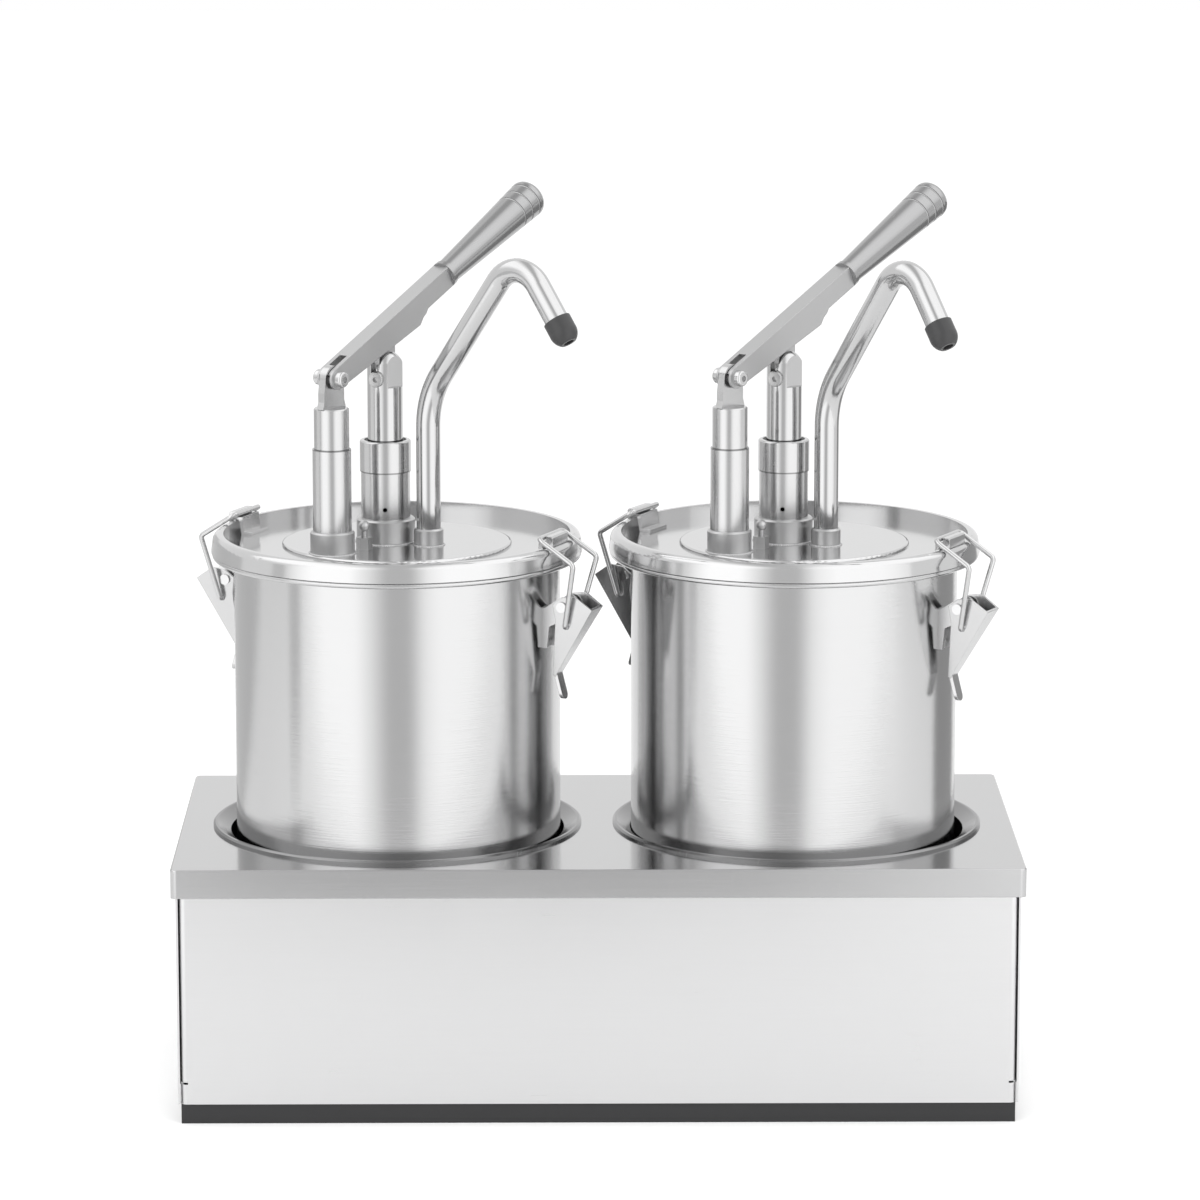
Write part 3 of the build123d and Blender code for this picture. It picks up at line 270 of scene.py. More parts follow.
# Finishes
def steel(
    name, colour, roughness, grain, depth=FINE_GRAIN, shade=0.06, round_edge=0.0, turn=None,
    painted_shade_line=None,
):
    """Steel with a grain whose lines run where the scales are low, clouding and hairlines.

    grain: how often the lines repeat along X, Y and Z, per metre
    depth: height of the grain, metres
    shade: how far the grain and the clouding change the colour
    round_edge: radius that sharp folds seem to have, metres
    turn: rotation that brings the piece's own long axis onto Z
    painted_shade_line: height at which a dark band of painted shade runs round the piece, metres
    """
    material = new_material(name)
    tree = Shader(material)
    place = tree.coordinates()
    if turn:
        settings = {"vector_type": "POINT"}
        place = tree.node("ShaderNodeMapping", settings, {"Vector": place, "Rotation": turn})
    lines = tree.noise(tree.stretched(place, grain), 1.0, 4.0, 0.6)
    cloud = tree.noise(place, CLOUD_SCALE, 4.0, 0.5)
    smudge = tree.noise(place, SMUDGE_SCALE, 2.0, 0.6)
    thread = tree.noise(tree.stretched(place, SCRATCH_STRETCH), 1.0, 1.0, 0.4)
    scratch = (abs(thread - 0.5) < SCRATCH_BAND) * (smudge > SCRATCH_PATCHES)
    tone = (lines - 0.5) * shade + (cloud - 0.5) * shade * 0.7 + scratch * 0.03 + 0.5
    shaded = tree.blended(tone, rgba(colour, 0.72), rgba(colour, 1.28))
    # Painted shade: a dark band painted into the colour round the piece, where shade falls at a
    # joint or a step
    if painted_shade_line:
        height = tree.node("ShaderNodeSeparateXYZ", None, [place], "Z")
        painted_shade_mask = (abs(height - painted_shade_line) < PAINTED_SHADE_BAND / 2) * PAINTED_SHADE_STRENGTH
        shaded = tree.blended(painted_shade_mask, shaded, rgba(colour, 0.08))
    blur = (lines - 0.5) * 0.22 + (cloud - 0.5) * 0.25 + (smudge - 0.5) * 0.12
    bump = {"Strength": 0.35, "Distance": depth, "Height": lines}
    if round_edge:
        bump["Normal"] = tree.node("ShaderNodeBevel", {"samples": 4}, {"Radius": round_edge})
    surface = {
        "Base Color": shaded,
        "Metallic": 1.0,
        "Roughness": tree.clamped((blur + 1.0) * roughness + scratch * 0.1, 0.02, 0.95),
        "Normal": tree.node("ShaderNodeBump", None, bump),
    }
    tree.finish(surface)
    return material


def moulded(name, colour, roughness, pores, depth, sheen=0.0):
    """Rubber, plastic or paint with a fine grained skin and dusty patches.

    pores: how often the skin's grain repeats, per metre
    depth: height of that grain, metres
    """
    material = new_material(name)
    tree = Shader(material)
    place = tree.coordinates()
    skin = tree.noise(place, pores, 3.0, 0.6)
    cloud = tree.noise(place, 35.0, 4.0, 0.55)
    dust = tree.clamped((cloud - 0.5) * 2.0, 0.0, 1.0) * 0.12
    tone = (skin - 0.5) * 0.15 + dust + 0.42
    rough = (cloud - 0.5) * 0.3 + (skin - 0.5) * 0.1 + roughness
    bump = {"Strength": 0.5, "Distance": depth, "Height": skin}
    surface = {
        "Base Color": tree.blended(tone, rgba(colour, 0.6), rgba(colour, 1.6)),
        "Roughness": tree.clamped(rough, 0.05, 1.0),
        "Normal": tree.node("ShaderNodeBump", None, bump),
    }
    if sheen:
        surface["Sheen Weight"] = sheen
    tree.finish(surface)
    return material


def dress(node, material):
    """Gives a CAD node its finish."""
    slots = frame["nodes"][node].data.materials
    slots.clear()
    slots.append(material)


def dress_pair(name, material):
    """Gives the left and the right node of a kind the same finish."""
    for side in SIDES:
        dress(f"{name}_{side}", material)


def joint(name):
    return next(j for j in frame["joints"] if j["name"] == name)


def long_axis(node):
    """Direction in which a CAD node is longest."""
    points = np.array([v.co for v in frame["nodes"][node].data.vertices])
    points = points - points.mean(0)
    _, vectors = np.linalg.eigh(points.T @ points)
    return Vector(vectors[:, -1])


def turn_to_z(direction):
    return tuple(direction.rotation_difference(Vector((0, 0, 1))).to_euler())


def added(name, data):
    """Object that holds a mesh, a lamp or a camera, put into the scene."""
    piece = bpy.data.objects.new(name, data)
    bpy.context.scene.collection.objects.link(piece)
    return piece


def smooth(mesh):
    for face in mesh.polygons:
        face.use_smooth = True


# Sizes and colours that can be changed
class StandSettings(PropertyGroup):
    cover_colour: FloatVectorProperty(
        name="Cover colour", description="Folded top cover", subtype="COLOR",
        default=(0.52, 0.52, 0.523), min=0, max=1,
    )
    cover_roughness: FloatProperty(
        name="Cover roughness", description="Blur of what the cover reflects",
        default=0.14, min=0, max=1, subtype="FACTOR",
    )
    panel_colour: FloatVectorProperty(
        name="Panel colour", description="Front panel and side wrap", subtype="COLOR",
        default=(0.70, 0.70, 0.703), min=0, max=1,
    )
    panel_roughness: FloatProperty(
        name="Panel roughness", description="Blur of what the panels reflect",
        default=0.30, min=0, max=1, subtype="FACTOR",
    )
    plinth_colour: FloatVectorProperty(
        name="Plinth colour", description="Painted plinth", subtype="COLOR",
        default=(0.016, 0.016, 0.017), min=0, max=1,
    )


class PotSettings(PropertyGroup):
    wall_colour: FloatVectorProperty(
        name="Pot colour", description="Satin pot wall", subtype="COLOR",
        default=(0.56, 0.56, 0.562), min=0, max=1,
    )
    wall_roughness: FloatProperty(
        name="Pot roughness", description="Blur of what the pots reflect",
        default=0.15, min=0, max=1, subtype="FACTOR",
    )
    lid_colour: FloatVectorProperty(
        name="Lid colour", description="Polished lid and latches", subtype="COLOR",
        default=(0.60, 0.60, 0.602), min=0, max=1,
    )
    # The rings' steel colour is made dark all round, painted shade that stands in for the shade
    # round the pot's foot
    ring_colour_and_painted_shade: FloatVectorProperty(
        name="Ring colour", description="Pressed rings round the wells", subtype="COLOR",
        default=(0.25, 0.25, 0.252), min=0, max=1,
    )
    lid_roughness: FloatProperty(
        name="Lid roughness", description="Blur of what the lids reflect",
        default=0.13, min=0, max=1, subtype="FACTOR",
    )


class PumpSettings(PropertyGroup):
    bright_colour: FloatVectorProperty(
        name="Bright steel", description="Post, barrel, rod and spout", subtype="COLOR",
        default=(0.56, 0.56, 0.562), min=0, max=1,
    )
    dull_colour: FloatVectorProperty(
        name="Dull steel", description="Lever arms and the collars on the lid", subtype="COLOR",
        default=(0.52, 0.52, 0.522), min=0, max=1,
    )
    grip_colour: FloatVectorProperty(
        name="Grip steel", description="Turned grips", subtype="COLOR",
        default=(0.38, 0.38, 0.382), min=0, max=1,
    )
    # Nut height and post step place the dark bands of painted shade on the barrel, the nut and the
    # post
    nut_height: FloatProperty(
        name="Nut height", description="Height of the nut over the barrel",
        default=0.0155, min=0, unit="LENGTH",
    )
    post_step: FloatProperty(
        name="Post step", description="Height of the step on the lever's post",
        default=0.3232, min=0, unit="LENGTH",
    )
    spring_wire: FloatProperty(
        name="Spring wire", description="Thickness of the return spring's wire",
        default=0.0016, min=0.0002, unit="LENGTH",
    )
    spring_turns: IntProperty(
        name="Spring turns", description="Turns of the return spring", default=9, min=1
    )
    rubber_colour: FloatVectorProperty(
        name="Nozzle rubber", description="Black nozzle of each spout", subtype="COLOR",
        default=(0.028, 0.028, 0.029), min=0, max=1,
    )


class WeldSettings(PropertyGroup):
    width: FloatProperty(
        name="Seam width", description="Width of the weld round each collar",
        default=0.0013, min=0.0002, unit="LENGTH",
    )
    pitch: FloatProperty(
        name="Ripple pitch", description="Distance from one weld ripple to the next",
        default=0.0009, min=0.0002, unit="LENGTH",
    )
    height: FloatProperty(
        name="Seam height", description="Height of the weld over the lid",
        default=0.0007, min=0.0001, unit="LENGTH",
    )
    spot: FloatProperty(
        name="Spot size", description="Width of a spot weld on the latch brackets",
        default=0.0026, min=0.0005, unit="LENGTH",
    )
    post_collar: FloatProperty(
        name="Post collar", description="Outer radius of the collar under the lever's post",
        default=0.0109, min=0.001, unit="LENGTH",
    )
    pump_collar: FloatProperty(
        name="Pump collar", description="Outer radius of the collar round the pump",
        default=0.0145, min=0.001, unit="LENGTH",
    )
    spout_collar: FloatProperty(
        name="Spout collar", description="Outer radius of the collar round the spout",
        default=0.00725, min=0.001, unit="LENGTH",
    )
    bracket_face: FloatProperty(
        name="Bracket face", description="Distance from the pot's axis to the bracket's plate",
        default=0.0822, min=0.01, unit="LENGTH",
    )
    seed: IntProperty(
        name="Seed", description="Fixes the ripples' small differences", default=4
    )


class StageSettings(PropertyGroup):
    floor_colour: FloatVectorProperty(
        name="Floor colour", description="Plain pale floor", subtype="COLOR",
        default=(0.76, 0.76, 0.76), min=0, max=1,
    )
    soft_box_light: FloatProperty(
        name="Soft box light", description="Brightness of the two soft boxes",
        default=1.3, min=0,
    )
    tent_light: FloatProperty(
        name="Tent light", description="Brightness of the tent that the steel reflects",
        default=1.65, min=0,
    )
    sky_light: FloatProperty(
        name="Sky light", description="Brightness of the white surroundings", default=1.0, min=0
    )
    lens: FloatProperty(
        name="Lens", description="Focal length on a 36 mm wide sensor", default=169.79, min=1
    )
    camera_place: FloatVectorProperty(
        name="Camera place", description="Where the camera stands", subtype="TRANSLATION",
        unit="LENGTH", default=(-0.02260, -2.76705, 0.77959),
    )
    camera_pitch: FloatProperty(
        name="Camera pitch", description="How far the camera looks down", subtype="ANGLE",
        default=math.radians(11.02),
    )
    camera_turn: FloatProperty(
        name="Camera turn", description="Turn of the camera about the upright", subtype="ANGLE",
        default=math.radians(-0.5),
    )


# Stand
class SAUCE_OT_stand(Operator):
    """Finish the stand's cover, panels, tray and plinth, and all the screws"""

    bl_idname = "sauce.stand"
    bl_label = "Stand"

    def execute(self, context):
        look = context.scene.sauce_stand
        cover = steel(
            "cover steel", look.cover_colour, look.cover_roughness, grain=(26, 1900, 1900),
            round_edge=0.0006,
        )
        panel = steel(
            "panel steel", look.panel_colour, look.panel_roughness, grain=(24, 24, 2100)
        )
        tray = steel("tray steel", HIDDEN_STEEL, roughness=0.4, grain=(30, 1500, 1500))
        screw = steel("screw steel", HIDDEN_STEEL, roughness=0.3, grain=(400, 400, 3000))
        paint = moulded(
            "plinth paint", look.plinth_colour, roughness=0.45, pores=900.0, depth=0.00004
        )
        dress("top_cover", cover)
        dress("front_panel", panel)
        dress("side_wrap", panel)
        dress("base_tray", tray)
        dress("plinth", paint)
        dress("base_screws", screw)
        dress_pair("head_screw", screw)
        return {"FINISHED"}


# Pots and lids
class SAUCE_OT_pots(Operator):
    """Finish the pots, their gaskets, lids and the rings that they stand in"""

    bl_idname = "sauce.pots"
    bl_label = "Pots and lids"

    def execute(self, context):
        look = context.scene.sauce_pots
        pot = steel(
            "pot steel", look.wall_colour, look.wall_roughness, grain=(18, 18, 2600),
            depth=0.00009,
        )
        lid = steel(
            "lid steel", look.lid_colour, look.lid_roughness, grain=(60, 60, 60),
            depth=0.00002, shade=0.03,
        )
        # Painted shade: the rings' steel is made dark all round to stand in for the shade round
        # the pot's foot
        ring = steel("ring steel with painted shade", look.ring_colour_and_painted_shade, roughness=0.2, grain=(60, 60, 900))
        silicone = moulded(
            "gasket silicone", (0.72, 0.73, 0.71), roughness=0.35, pores=700.0, depth=0.00003
        )
        dress_pair("pot", pot)
        dress_pair("lid", lid)
        dress_pair("well_ring", ring)
        dress_pair("pot_gasket", silicone)
        return {"FINISHED"}


# Latches
class SAUCE_OT_latches(Operator):
    """Finish the latch levers, wire bails, keepers and brackets, and all the pins"""

    bl_idname = "sauce.latches"
    bl_label = "Latches"

    def execute(self, context):
        colour = context.scene.sauce_pots.lid_colour
        pressed = steel(
            "latch steel", colour, roughness=0.17, grain=(70, 70, 70), depth=0.00002,
            round_edge=0.0004,
        )
        bracket = steel("bracket steel", colour, roughness=0.3, grain=(40, 40, 900))
        wire = steel("wire steel", colour, roughness=0.2, grain=(300, 300, 300))
        pin = steel("pin steel", colour, roughness=0.15, grain=(200, 200, 200))
        for end in LATCHES:
            dress_pair(f"latch_lever_{end}", pressed)
            dress_pair(f"latch_bail_{end}", wire)
        dress_pair("lid_keepers", pressed)
        dress_pair("latch_brackets", bracket)
        dress_pair("latch_pins", pin)
        dress_pair("lever_pins", pin)
        return {"FINISHED"}


# Pumps
def spring(side, look, finish):
    """Coil of round wire in the return spring's place."""
    low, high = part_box(f"return_spring_{side}")
    centre = (low + high) / 2
    wire = look.spring_wire / 2
    radius = (high.x - low.x) / 2 - wire
    climb = high.z - low.z - 2 * wire
    steps = look.spring_turns * SPRING_STEPS
    points, faces = [], []
    for i in range(steps + 1):
        share = i / steps
        angle = 2 * math.pi * look.spring_turns * share
        out = Vector((math.cos(angle), math.sin(angle), 0))
        heart = Vector((centre.x, centre.y, low.z + wire + climb * share)) + out * radius
        for k in range(SPRING_SIDES):
            turn = 2 * math.pi * k / SPRING_SIDES
            lift = Vector((0, 0, wire * math.sin(turn)))
            points.append(heart + out * wire * math.cos(turn) + lift)
    for i in range(steps):
        for k in range(SPRING_SIDES):
            first = i * SPRING_SIDES + k
            second = i * SPRING_SIDES + (k + 1) % SPRING_SIDES
            faces.append((first, second, second + SPRING_SIDES, first + SPRING_SIDES))
    faces.append(tuple(range(SPRING_SIDES))[::-1])
    faces.append(tuple(range(steps * SPRING_SIDES, (steps + 1) * SPRING_SIDES)))
    mesh = bpy.data.meshes.new(f"spring_coil_{side}")
    mesh.from_pydata(points, [], faces)
    smooth(mesh)
    mesh.materials.append(finish)
    return added(f"spring_coil_{side}", mesh)


class SAUCE_OT_pumps(Operator):
    """Finish the pump barrels, rods, posts, nuts, collars, springs and valves"""

    bl_idname = "sauce.pumps"
    bl_label = "Pumps"

    def execute(self, context):
        look = context.scene.sauce_pump
        bright = look.bright_colour
        # Painted shade: the post gets a dark band at its step, and the barrel and the nut get one
        # where the nut meets the barrel
        under_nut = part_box("gland_nut_left")[1].z - look.nut_height
        post = steel(
            "post steel", bright, roughness=0.2, grain=(40, 40, 3200), depth=0.000008,
            shade=0.05, painted_shade_line=look.post_step,
        )
        rod = steel(
            "rod steel", bright, roughness=0.13, grain=(50, 50, 3000), depth=0.000005,
            shade=0.04,
        )
        barrel = steel(
            "pump steel", bright, roughness=0.2, grain=(40, 40, 3200), depth=0.000008,
            shade=0.05, painted_shade_line=under_nut,
        )
        nut = steel(
            "nut steel", bright, roughness=0.17, grain=(50, 50, 3600), depth=0.000008,
            shade=0.05, painted_shade_line=under_nut,
        )
        fitting = steel("fitting steel", look.dull_colour, roughness=0.34, grain=(50, 50, 3000))
        wire = steel(
            "spring steel", (0.45, 0.45, 0.46), roughness=0.35, grain=(500, 500, 500)
        )
        plastic = moulded(
            "valve plastic", (0.8, 0.8, 0.78), roughness=0.4, pores=600.0, depth=0.00002
        )
        dress_pair("lever_post", post)
        dress_pair("piston_rod", rod)
        dress_pair("pump_barrel", barrel)
        dress_pair("gland_nut", nut)
        dress_pair("lid_fittings", fitting)
        for side in SIDES:
            coil = spring(side, look, wire)
            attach(coil, f"pot_{side}")
            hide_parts(f"return_spring_{side}")
            low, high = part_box(f"return_spring_{side}")
            stroke = -joint(f"pump_stroke_{side}")["range_m"][0]
            keep = 1 - stroke / (high.z - low.z)
            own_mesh(coil)
        dress_pair("piston", plastic)
        dress_pair("foot_valve", plastic)
        return {"FINISHED"}


# Levers
class SAUCE_OT_levers(Operator):
    """Finish the hand levers: blasted arms and drive blades, and turned grips"""

    bl_idname = "sauce.levers"
    bl_label = "Levers"

    def execute(self, context):
        look = context.scene.sauce_pump
        arm = steel(
            "lever steel", look.dull_colour, roughness=0.42, grain=(1500, 1500, 1500),
            depth=0.00002, shade=0.10, round_edge=0.0006,
        )
        dress_pair("lever_arm", arm)
        dress_pair("drive_blade", arm)
        for side in SIDES:
            turn = turn_to_z(long_axis(f"lever_grip_{side}"))
            grip = steel(
                f"grip steel {side}", look.grip_colour, roughness=0.18, grain=(60, 60, 3000),
                depth=0.000006, turn=turn,
            )
            dress(f"lever_grip_{side}", grip)
        return {"FINISHED"}


# Spouts
class SAUCE_OT_spouts(Operator):
    """Finish the swan-neck spouts, the delivery tubes under them and the nozzles"""

    bl_idname = "sauce.spouts"
    bl_label = "Spouts"

    def execute(self, context):
        look = context.scene.sauce_pump
        tube = steel(
            "tube steel", look.bright_colour, roughness=0.11, grain=(90, 90, 90), shade=0.05
        )
        rubber = moulded(
            "nozzle rubber", look.rubber_colour, roughness=0.42, pores=1400.0, depth=0.00005,
            sheen=0.1,
        )
        dress_pair("spout_tube", tube)
        dress_pair("delivery_tube", tube)
        dress_pair("nozzle", rubber)
        return {"FINISHED"}


# Weld seams and spot welds
class Growth:
    """Geometry Nodes tree with named inputs, which ends in a painted mesh."""

    def __init__(self, name, inputs):
        old = bpy.data.node_groups.get(name)
        if old:
            bpy.data.node_groups.remove(old)
        self.tree = bpy.data.node_groups.new(name, "GeometryNodeTree")
        sockets = self.tree.interface
        sockets.new_socket("Geometry", in_out="INPUT", socket_type="NodeSocketGeometry")
        sockets.new_socket("Geometry", in_out="OUTPUT", socket_type="NodeSocketGeometry")
        for label, kind, default in inputs:
            made = sockets.new_socket(label, in_out="INPUT", socket_type="NodeSocket" + kind)
            if default is not None:
                made.default_value = default
        self.entry = self.tree.nodes.new("NodeGroupInput")

    def given(self, name):
        """Socket of one of the tree's inputs."""
        return self.entry.outputs[name]

    def node(self, kind, settings=None, values=None, output=0):
        """Adds a node: its settings first, then a value or a socket for each input."""
        made = self.tree.nodes.new(kind)
        for name, value in (settings or {}).items():
            setattr(made, name, value)
        for key, value in (values or {}).items():
            if isinstance(value, bpy.types.NodeSocket):
                self.tree.links.new(value, made.inputs[key])
            else:
                made.inputs[key].default_value = value
        if made.outputs:
            return made.outputs[output]

    def drops(self, points, rotation):
        """Round drops on points, in the tree's width, length and height."""
        facets = {"Segments": DROP_SEGMENTS, "Rings": DROP_RINGS, "Radius": 0.5}
        drop = self.node("GeometryNodeMeshUVSphere", None, facets)
        sides = enumerate(("Width", "Length", "Height"))
        size = self.node("ShaderNodeCombineXYZ", None, {n: self.given(name) for n, name in sides})
        # Inputs 2 and 3 and output 1 are this node's ones for a plain number
        spread = {2: DROP_LEAST, 3: DROP_MOST, "Seed": self.given("Seed")}
        vary = self.node("FunctionNodeRandomValue", {"data_type": "FLOAT"}, spread, output=1)
        scale = self.node("ShaderNodeVectorMath", {"operation": "SCALE"}, {0: size, "Scale": vary})
        values = {"Points": points, "Instance": drop, "Rotation": rotation, "Scale": scale}
        return self.node("GeometryNodeInstanceOnPoints", None, values)

    def close(self, geometry):
        """Ends the tree in Realize Instances and Set Material."""
        real = self.node("GeometryNodeRealizeInstances", None, {0: geometry})
        values = {"Geometry": real, "Material": self.given("Finish")}
        painted = self.node("GeometryNodeSetMaterial", None, values)
        self.node("NodeGroupOutput", None, {0: painted})
        return self.tree


def seam_tree():
    """Ripples laid one after another along the base's edges."""
    growth = Growth("weld seam", (
        ("Width", "Float", 0.0013),
        ("Length", "Float", 0.0016),
        ("Height", "Float", 0.0012),
        ("Pitch", "Float", 0.0009),
        ("Seed", "Int", 4),
        ("Finish", "Material", None),
    ))
    curve = growth.node("GeometryNodeMeshToCurve", None, {"Mesh": growth.given("Geometry")})
    pitch = {"Curve": curve, "Length": growth.given("Pitch")}
    steps = growth.node("GeometryNodeResampleCurve", {"mode": "LENGTH"}, pitch)
    along = growth.node("GeometryNodeInputTangent")
    axes = {"axis": "Y", "pivot_axis": "Z"}
    turned = growth.node("FunctionNodeAlignRotationToVector", axes, {"Vector": along})
    return growth.close(growth.drops(steps, turned))


def spot_tree():
    """Flat drops on the base's points, each facing away from the pot's axis."""
    growth = Growth("spot welds", (
        ("Width", "Float", 0.0026),
        ("Length", "Float", 0.0026),
        ("Height", "Float", 0.0006),
        ("Seed", "Int", 4),
        ("Centre", "Vector", None),
        ("Finish", "Material", None),
    ))
    where = growth.node("GeometryNodeInputPosition")
    ends = {0: where, 1: growth.given("Centre")}
    outward = growth.node("ShaderNodeVectorMath", {"operation": "SUBTRACT"}, ends)
    level_only = {0: outward, 1: (1, 1, 0)}
    level = growth.node("ShaderNodeVectorMath", {"operation": "MULTIPLY"}, level_only)
    turned = growth.node("FunctionNodeAlignRotationToVector", {"axis": "Z"}, {"Vector": level})
    return growth.close(growth.drops(growth.given("Geometry"), turned))


def grown(name, points, edges, tree, values):
    """Mesh that a tree grows from points and edges, with no modifier left on it."""
    base = bpy.data.meshes.new(name + " base")
    base.from_pydata(points, edges, [])
    carrier = added(name + " base", base)
    modifier = carrier.modifiers.new("grow", "NODES")
    modifier.node_group = tree
    for item in tree.interface.items_tree:
        if item.in_out == "INPUT" and item.name in values:
            modifier[item.identifier] = values[item.name]
    view = bpy.context.evaluated_depsgraph_get()
    mesh = bpy.data.meshes.new_from_object(carrier.evaluated_get(view), depsgraph=view)
    if not mesh.polygons:
        raise RuntimeError(name + " came out empty")
    mesh.name = name
    smooth(mesh)
    piece = added(name, mesh)
    bpy.data.objects.remove(carrier)
    return piece


def ring_path(centre, radius, points, edges):
    """Adds a closed ring to a list of points and edges."""
    start = len(points)
    for i in range(RING_STEPS):
        angle = 2 * math.pi * i / RING_STEPS
        points.append(centre + radius * Vector((math.cos(angle), math.sin(angle), 0)))
        edges.append((start + i, start + (i + 1) % RING_STEPS))


def middle(node):
    """Middle of a CAD node's box."""
    low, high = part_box(node)
    return (low + high) / 2


def weld_rings(side, look):
    """Paths round the feet of the three collars on a lid."""
    points, edges = [], []
    spout = Vector(joint(f"spout_swivel_{side}")["pos_m"])
    post = Vector(joint(f"lever_hinge_{side}")["pos_m"])
    pump = middle(f"pump_barrel_{side}")
    for collar, radius in (
        (post, look.post_collar),
        (pump, look.pump_collar),
        (spout, look.spout_collar),
    ):
        foot = Vector((collar.x, collar.y, spout.z))
        ring_path(foot, radius + look.width * SEAM_SET_OUT, points, edges)
    return points, edges


def bracket_spots(side, look):
    """Two by two spots on the plate of each latch bracket."""
    points = []
    axis = middle(f"pot_{side}")
    for end in LATCHES:
        pivot = Vector(joint(f"latch_{end}_hinge_{side}")["pos_m"])
        out = (pivot - axis) * Vector((1, 1, 0))
        out.normalize()
        across = Vector((-out.y, out.x, 0))
        for drop in SPOT_DROPS:
            for step in SPOT_STEPS:
                level = Vector((axis.x, axis.y, pivot.z - drop))
                points.append(level + out * look.bracket_face + across * step)
    return points


class SAUCE_OT_welds(Operator):
    """Lay the weld seams round the collars and the spot welds on the brackets"""

    bl_idname = "sauce.welds"
    bl_label = "Welds"

    def execute(self, context):
        look = context.scene.sauce_welds
        colour = context.scene.sauce_pump.dull_colour
        finish = steel(
            "weld steel", colour, roughness=0.3, grain=(700, 700, 700), depth=0.00003,
            shade=0.2,
        )
        seam, spots = seam_tree(), spot_tree()
        for side in SIDES:
            points, edges = weld_rings(side, look)
            values = {
                "Width": look.width,
                "Length": look.pitch * RIPPLE_OVERLAP,
                "Height": look.height * 2,
                "Pitch": look.pitch,
                "Seed": look.seed,
                "Finish": finish,
            }
            rings = grown(f"weld_seams_{side}", points, edges, seam, values)
            values = {
                "Width": look.spot,
                "Length": look.spot,
                "Height": look.spot * SPOT_RISE,
                "Seed": look.seed,
                "Centre": middle(f"pot_{side}"),
                "Finish": finish,
            }
            dots = grown(f"spot_welds_{side}", bracket_spots(side, look), [], spots, values)
            for piece, slot in ((rings, "fitting_steel"), (dots, "bracket_steel")):
                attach(piece, f"pot_{side}")
        return {"FINISHED"}


# Studio
def lamp(name, place, width, radiance):
    """Soft box that faces the object and isn't seen or reflected."""
    light = bpy.data.lights.new(name, "AREA")
    light.shape = "RECTANGLE"
    light.size = width
    light.size_y = SOFT_BOX_HEIGHT
    light.energy = radiance * math.pi * width * SOFT_BOX_HEIGHT
    soft_box = added(name, light)
    aim = (Vector(SOFT_BOX_TARGET) - Vector(place)).to_track_quat("-Z", "Y")
    soft_box.matrix_world = Matrix.Translation(place) @ aim.to_matrix().to_4x4()
    soft_box.visible_camera = False
    soft_box.visible_glossy = False


def flat_sheet(name, corners, material):
    """Flat piece of the stage."""
    mesh = bpy.data.meshes.new(name)
    mesh.from_pydata(corners, [], [(0, 1, 2, 3)])
    mesh.materials.append(material)
    piece = added(name, mesh)
    return piece


def reflected_only(piece):
    """Leaves a sheet in reflections and takes it out of sight, light and shade."""
    piece.visible_camera = False
    piece.visible_diffuse = False
    piece.visible_shadow = False


def background_rays(tree):
    """Two masks: what the camera sees, and that with what metal and glass show."""
    sight = tree.node("ShaderNodeLightPath", None, (), "Is Camera Ray")
    gloss = tree.node("ShaderNodeLightPath", None, (), "Is Glossy Ray")
    glass = tree.node("ShaderNodeLightPath", None, (), "Is Transmission Ray")
    return sight, tree.clamped(sight + gloss + glass, 0.0, 1.0)


def floor_material(colour):
    """Pale floor that reaches white where nothing shades it."""
    material = new_material("floor")
    tree = Shader(material)
    speck = tree.noise(tree.coordinates(), 400.0, 2.0)
    sight, seen = background_rays(tree)
    surface = {
        "Base Color": tree.blended(speck, rgba(colour, 0.985), rgba(colour, 1.015)),
        "Roughness": 0.8,
        "Specular IOR Level": 0.1,
        "Emission Color": WHITE,
    }
    lit = tree.node("ShaderNodeBsdfPrincipled", None, surface)
    power = seen * FLOOR_GLOW + sight * FLOOR_GLOW_IN_SIGHT
    glow = tree.node("ShaderNodeEmission", None, {"Strength": power})
    both = tree.node("ShaderNodeAddShader", None, [lit, glow])
    tree.node("ShaderNodeOutputMaterial", None, {"Surface": both})
    return material


def tent_material(light):
    """Cloth of the light tent: two bright panels with soft edges and a grey gap between them."""
    stops = [(x / (2 * TENT_HALF) + 0.5, tone) for x, tone in TENT_TONES]
    material = new_material("light tent")
    tree = Shader(material)
    across = tree.node("ShaderNodeSeparateXYZ", None, [tree.coordinates()])
    share = across / (2 * TENT_HALF) + 0.5
    tone = tree.node("ShaderNodeValToRGB", {"stops": stops}, [share])
    tree.finish({"Base Color": BLACK, "Emission Color": tone, "Emission Strength": light})
    return material


def card_material(name, tone):
    """Plain grey card that only the steel reflects."""
    material = new_material(name)
    tree = Shader(material)
    fade = tree.noise(tree.coordinates(), 3.0, 1.0)
    grey = tree.blended(fade, rgba((tone,) * 3, 0.95), rgba((tone,) * 3, 1.05))
    tree.finish({"Base Color": BLACK, "Emission Color": grey, "Emission Strength": 1.0})
    return material


def white_world(strength):
    """Surroundings that are white to the camera, and light the object with a strength."""
    world = bpy.data.worlds.new("studio")
    bpy.context.scene.world = world
    tree = Shader(world)
    _, seen = background_rays(tree)
    power = seen * (1.0 - strength) + strength
    sky = tree.node("ShaderNodeBackground", None, {"Color": WHITE, "Strength": power})
    tree.node("ShaderNodeOutputWorld", None, {"Surface": sky})


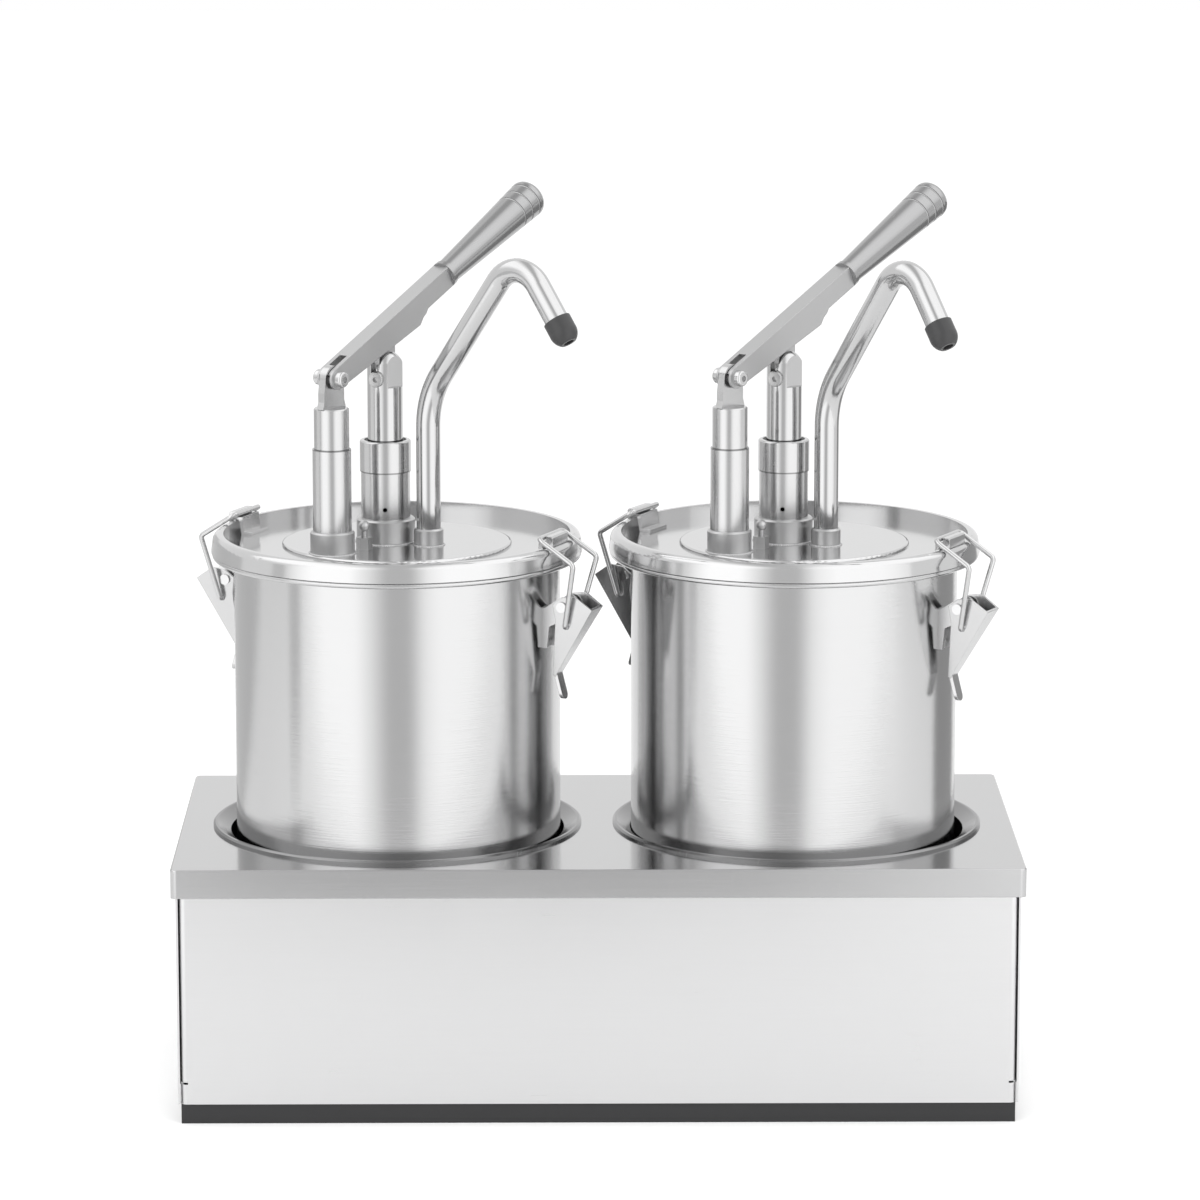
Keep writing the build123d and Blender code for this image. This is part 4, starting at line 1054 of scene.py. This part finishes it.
class SAUCE_OT_stage(Operator):
    """Set up the floor, the light tent, cards, soft boxes, white surroundings and camera"""

    bl_idname = "sauce.stage"
    bl_label = "Stage"

    def execute(self, context):
        look = context.scene.sauce_stage
        scene = context.scene
        left, right = -FLOOR_HALF, FLOOR_HALF
        corners = [
            (left, FLOOR_FRONT, 0), (right, FLOOR_FRONT, 0),
            (right, FLOOR_BACK, 0), (left, FLOOR_BACK, 0),
        ]
        flat_sheet("floor", corners, floor_material(look.floor_colour))
        cloth = tent_material(look.tent_light)
        left, right = -TENT_HALF, TENT_HALF
        foot = [(left, TENT_WALL, TENT_FOOT), (right, TENT_WALL, TENT_FOOT)]
        top = [(right, TENT_WALL, TENT_TOP), (left, TENT_WALL, TENT_TOP)]
        back = [(right, TENT_BACK, TENT_TOP), (left, TENT_BACK, TENT_TOP)]
        for name, corners in (("tent_wall", foot + top), ("tent_roof", top[::-1] + back)):
            reflected_only(flat_sheet(name, corners, cloth))
        for name, tone, start, end in CARDS:
            upright = [(*start, 0.0), (*end, 0.0), (*end, CARD_HEIGHT), (*start, CARD_HEIGHT)]
            reflected_only(flat_sheet(name, upright, card_material(name, tone)))
        for name, place, width in SOFT_BOXES:
            lamp(name, place, width, look.soft_box_light)
        white_world(look.sky_light)
        camera = bpy.data.cameras.new("camera")
        camera.lens = look.lens
        camera.sensor_width = 36.0
        camera.clip_end = 50.0
        eye = added("camera", camera)
        eye.location = look.camera_place
        eye.rotation_euler = (math.pi / 2 - look.camera_pitch, 0.0, look.camera_turn)
        scene.camera = eye
        scene.view_settings.view_transform = "Standard"
        return {"FINISHED"}


class SAUCE_PT_panel(Panel):
    """Sizes, colours and steps of the sauce dispenser"""

    bl_idname = "SAUCE_PT_panel"
    bl_label = "Sauce dispenser"
    bl_space_type = "VIEW_3D"
    bl_region_type = "UI"
    bl_category = "Sauce dispenser"

    def draw(self, context):
        for group in SETTINGS:
            settings = getattr(context.scene, group)
            for name in settings.bl_rna.properties.keys():
                if name not in ("rna_type", "name"):
                    self.layout.prop(settings, name)
        for step in STEPS:
            self.layout.operator(step.bl_idname)


SETTINGS = {
    "sauce_stand": StandSettings,
    "sauce_pots": PotSettings,
    "sauce_pump": PumpSettings,
    "sauce_welds": WeldSettings,
    "sauce_stage": StageSettings,
}
STEPS = (
    SAUCE_OT_stand,
    SAUCE_OT_pots,
    SAUCE_OT_latches,
    SAUCE_OT_pumps,
    SAUCE_OT_levers,
    SAUCE_OT_spouts,
    SAUCE_OT_welds,
    SAUCE_OT_stage,
)


def register():
    for group in SETTINGS.values():
        bpy.utils.register_class(group)
    for step in STEPS:
        bpy.utils.register_class(step)
    bpy.utils.register_class(SAUCE_PT_panel)
    for name, group in SETTINGS.items():
        setattr(bpy.types.Scene, name, PointerProperty(type=group))


def unregister():
    for name in SETTINGS:
        delattr(bpy.types.Scene, name)
    bpy.utils.unregister_class(SAUCE_PT_panel)
    for step in reversed(STEPS):
        bpy.utils.unregister_class(step)
    for group in SETTINGS.values():
        bpy.utils.unregister_class(group)


def main():
    register()
    bpy.ops.sauce.stand()
    bpy.ops.sauce.pots()
    bpy.ops.sauce.latches()
    bpy.ops.sauce.pumps()
    bpy.ops.sauce.levers()
    bpy.ops.sauce.spouts()
    bpy.ops.sauce.welds()
    bpy.ops.sauce.stage()


if __name__ == "__main__":
    main()
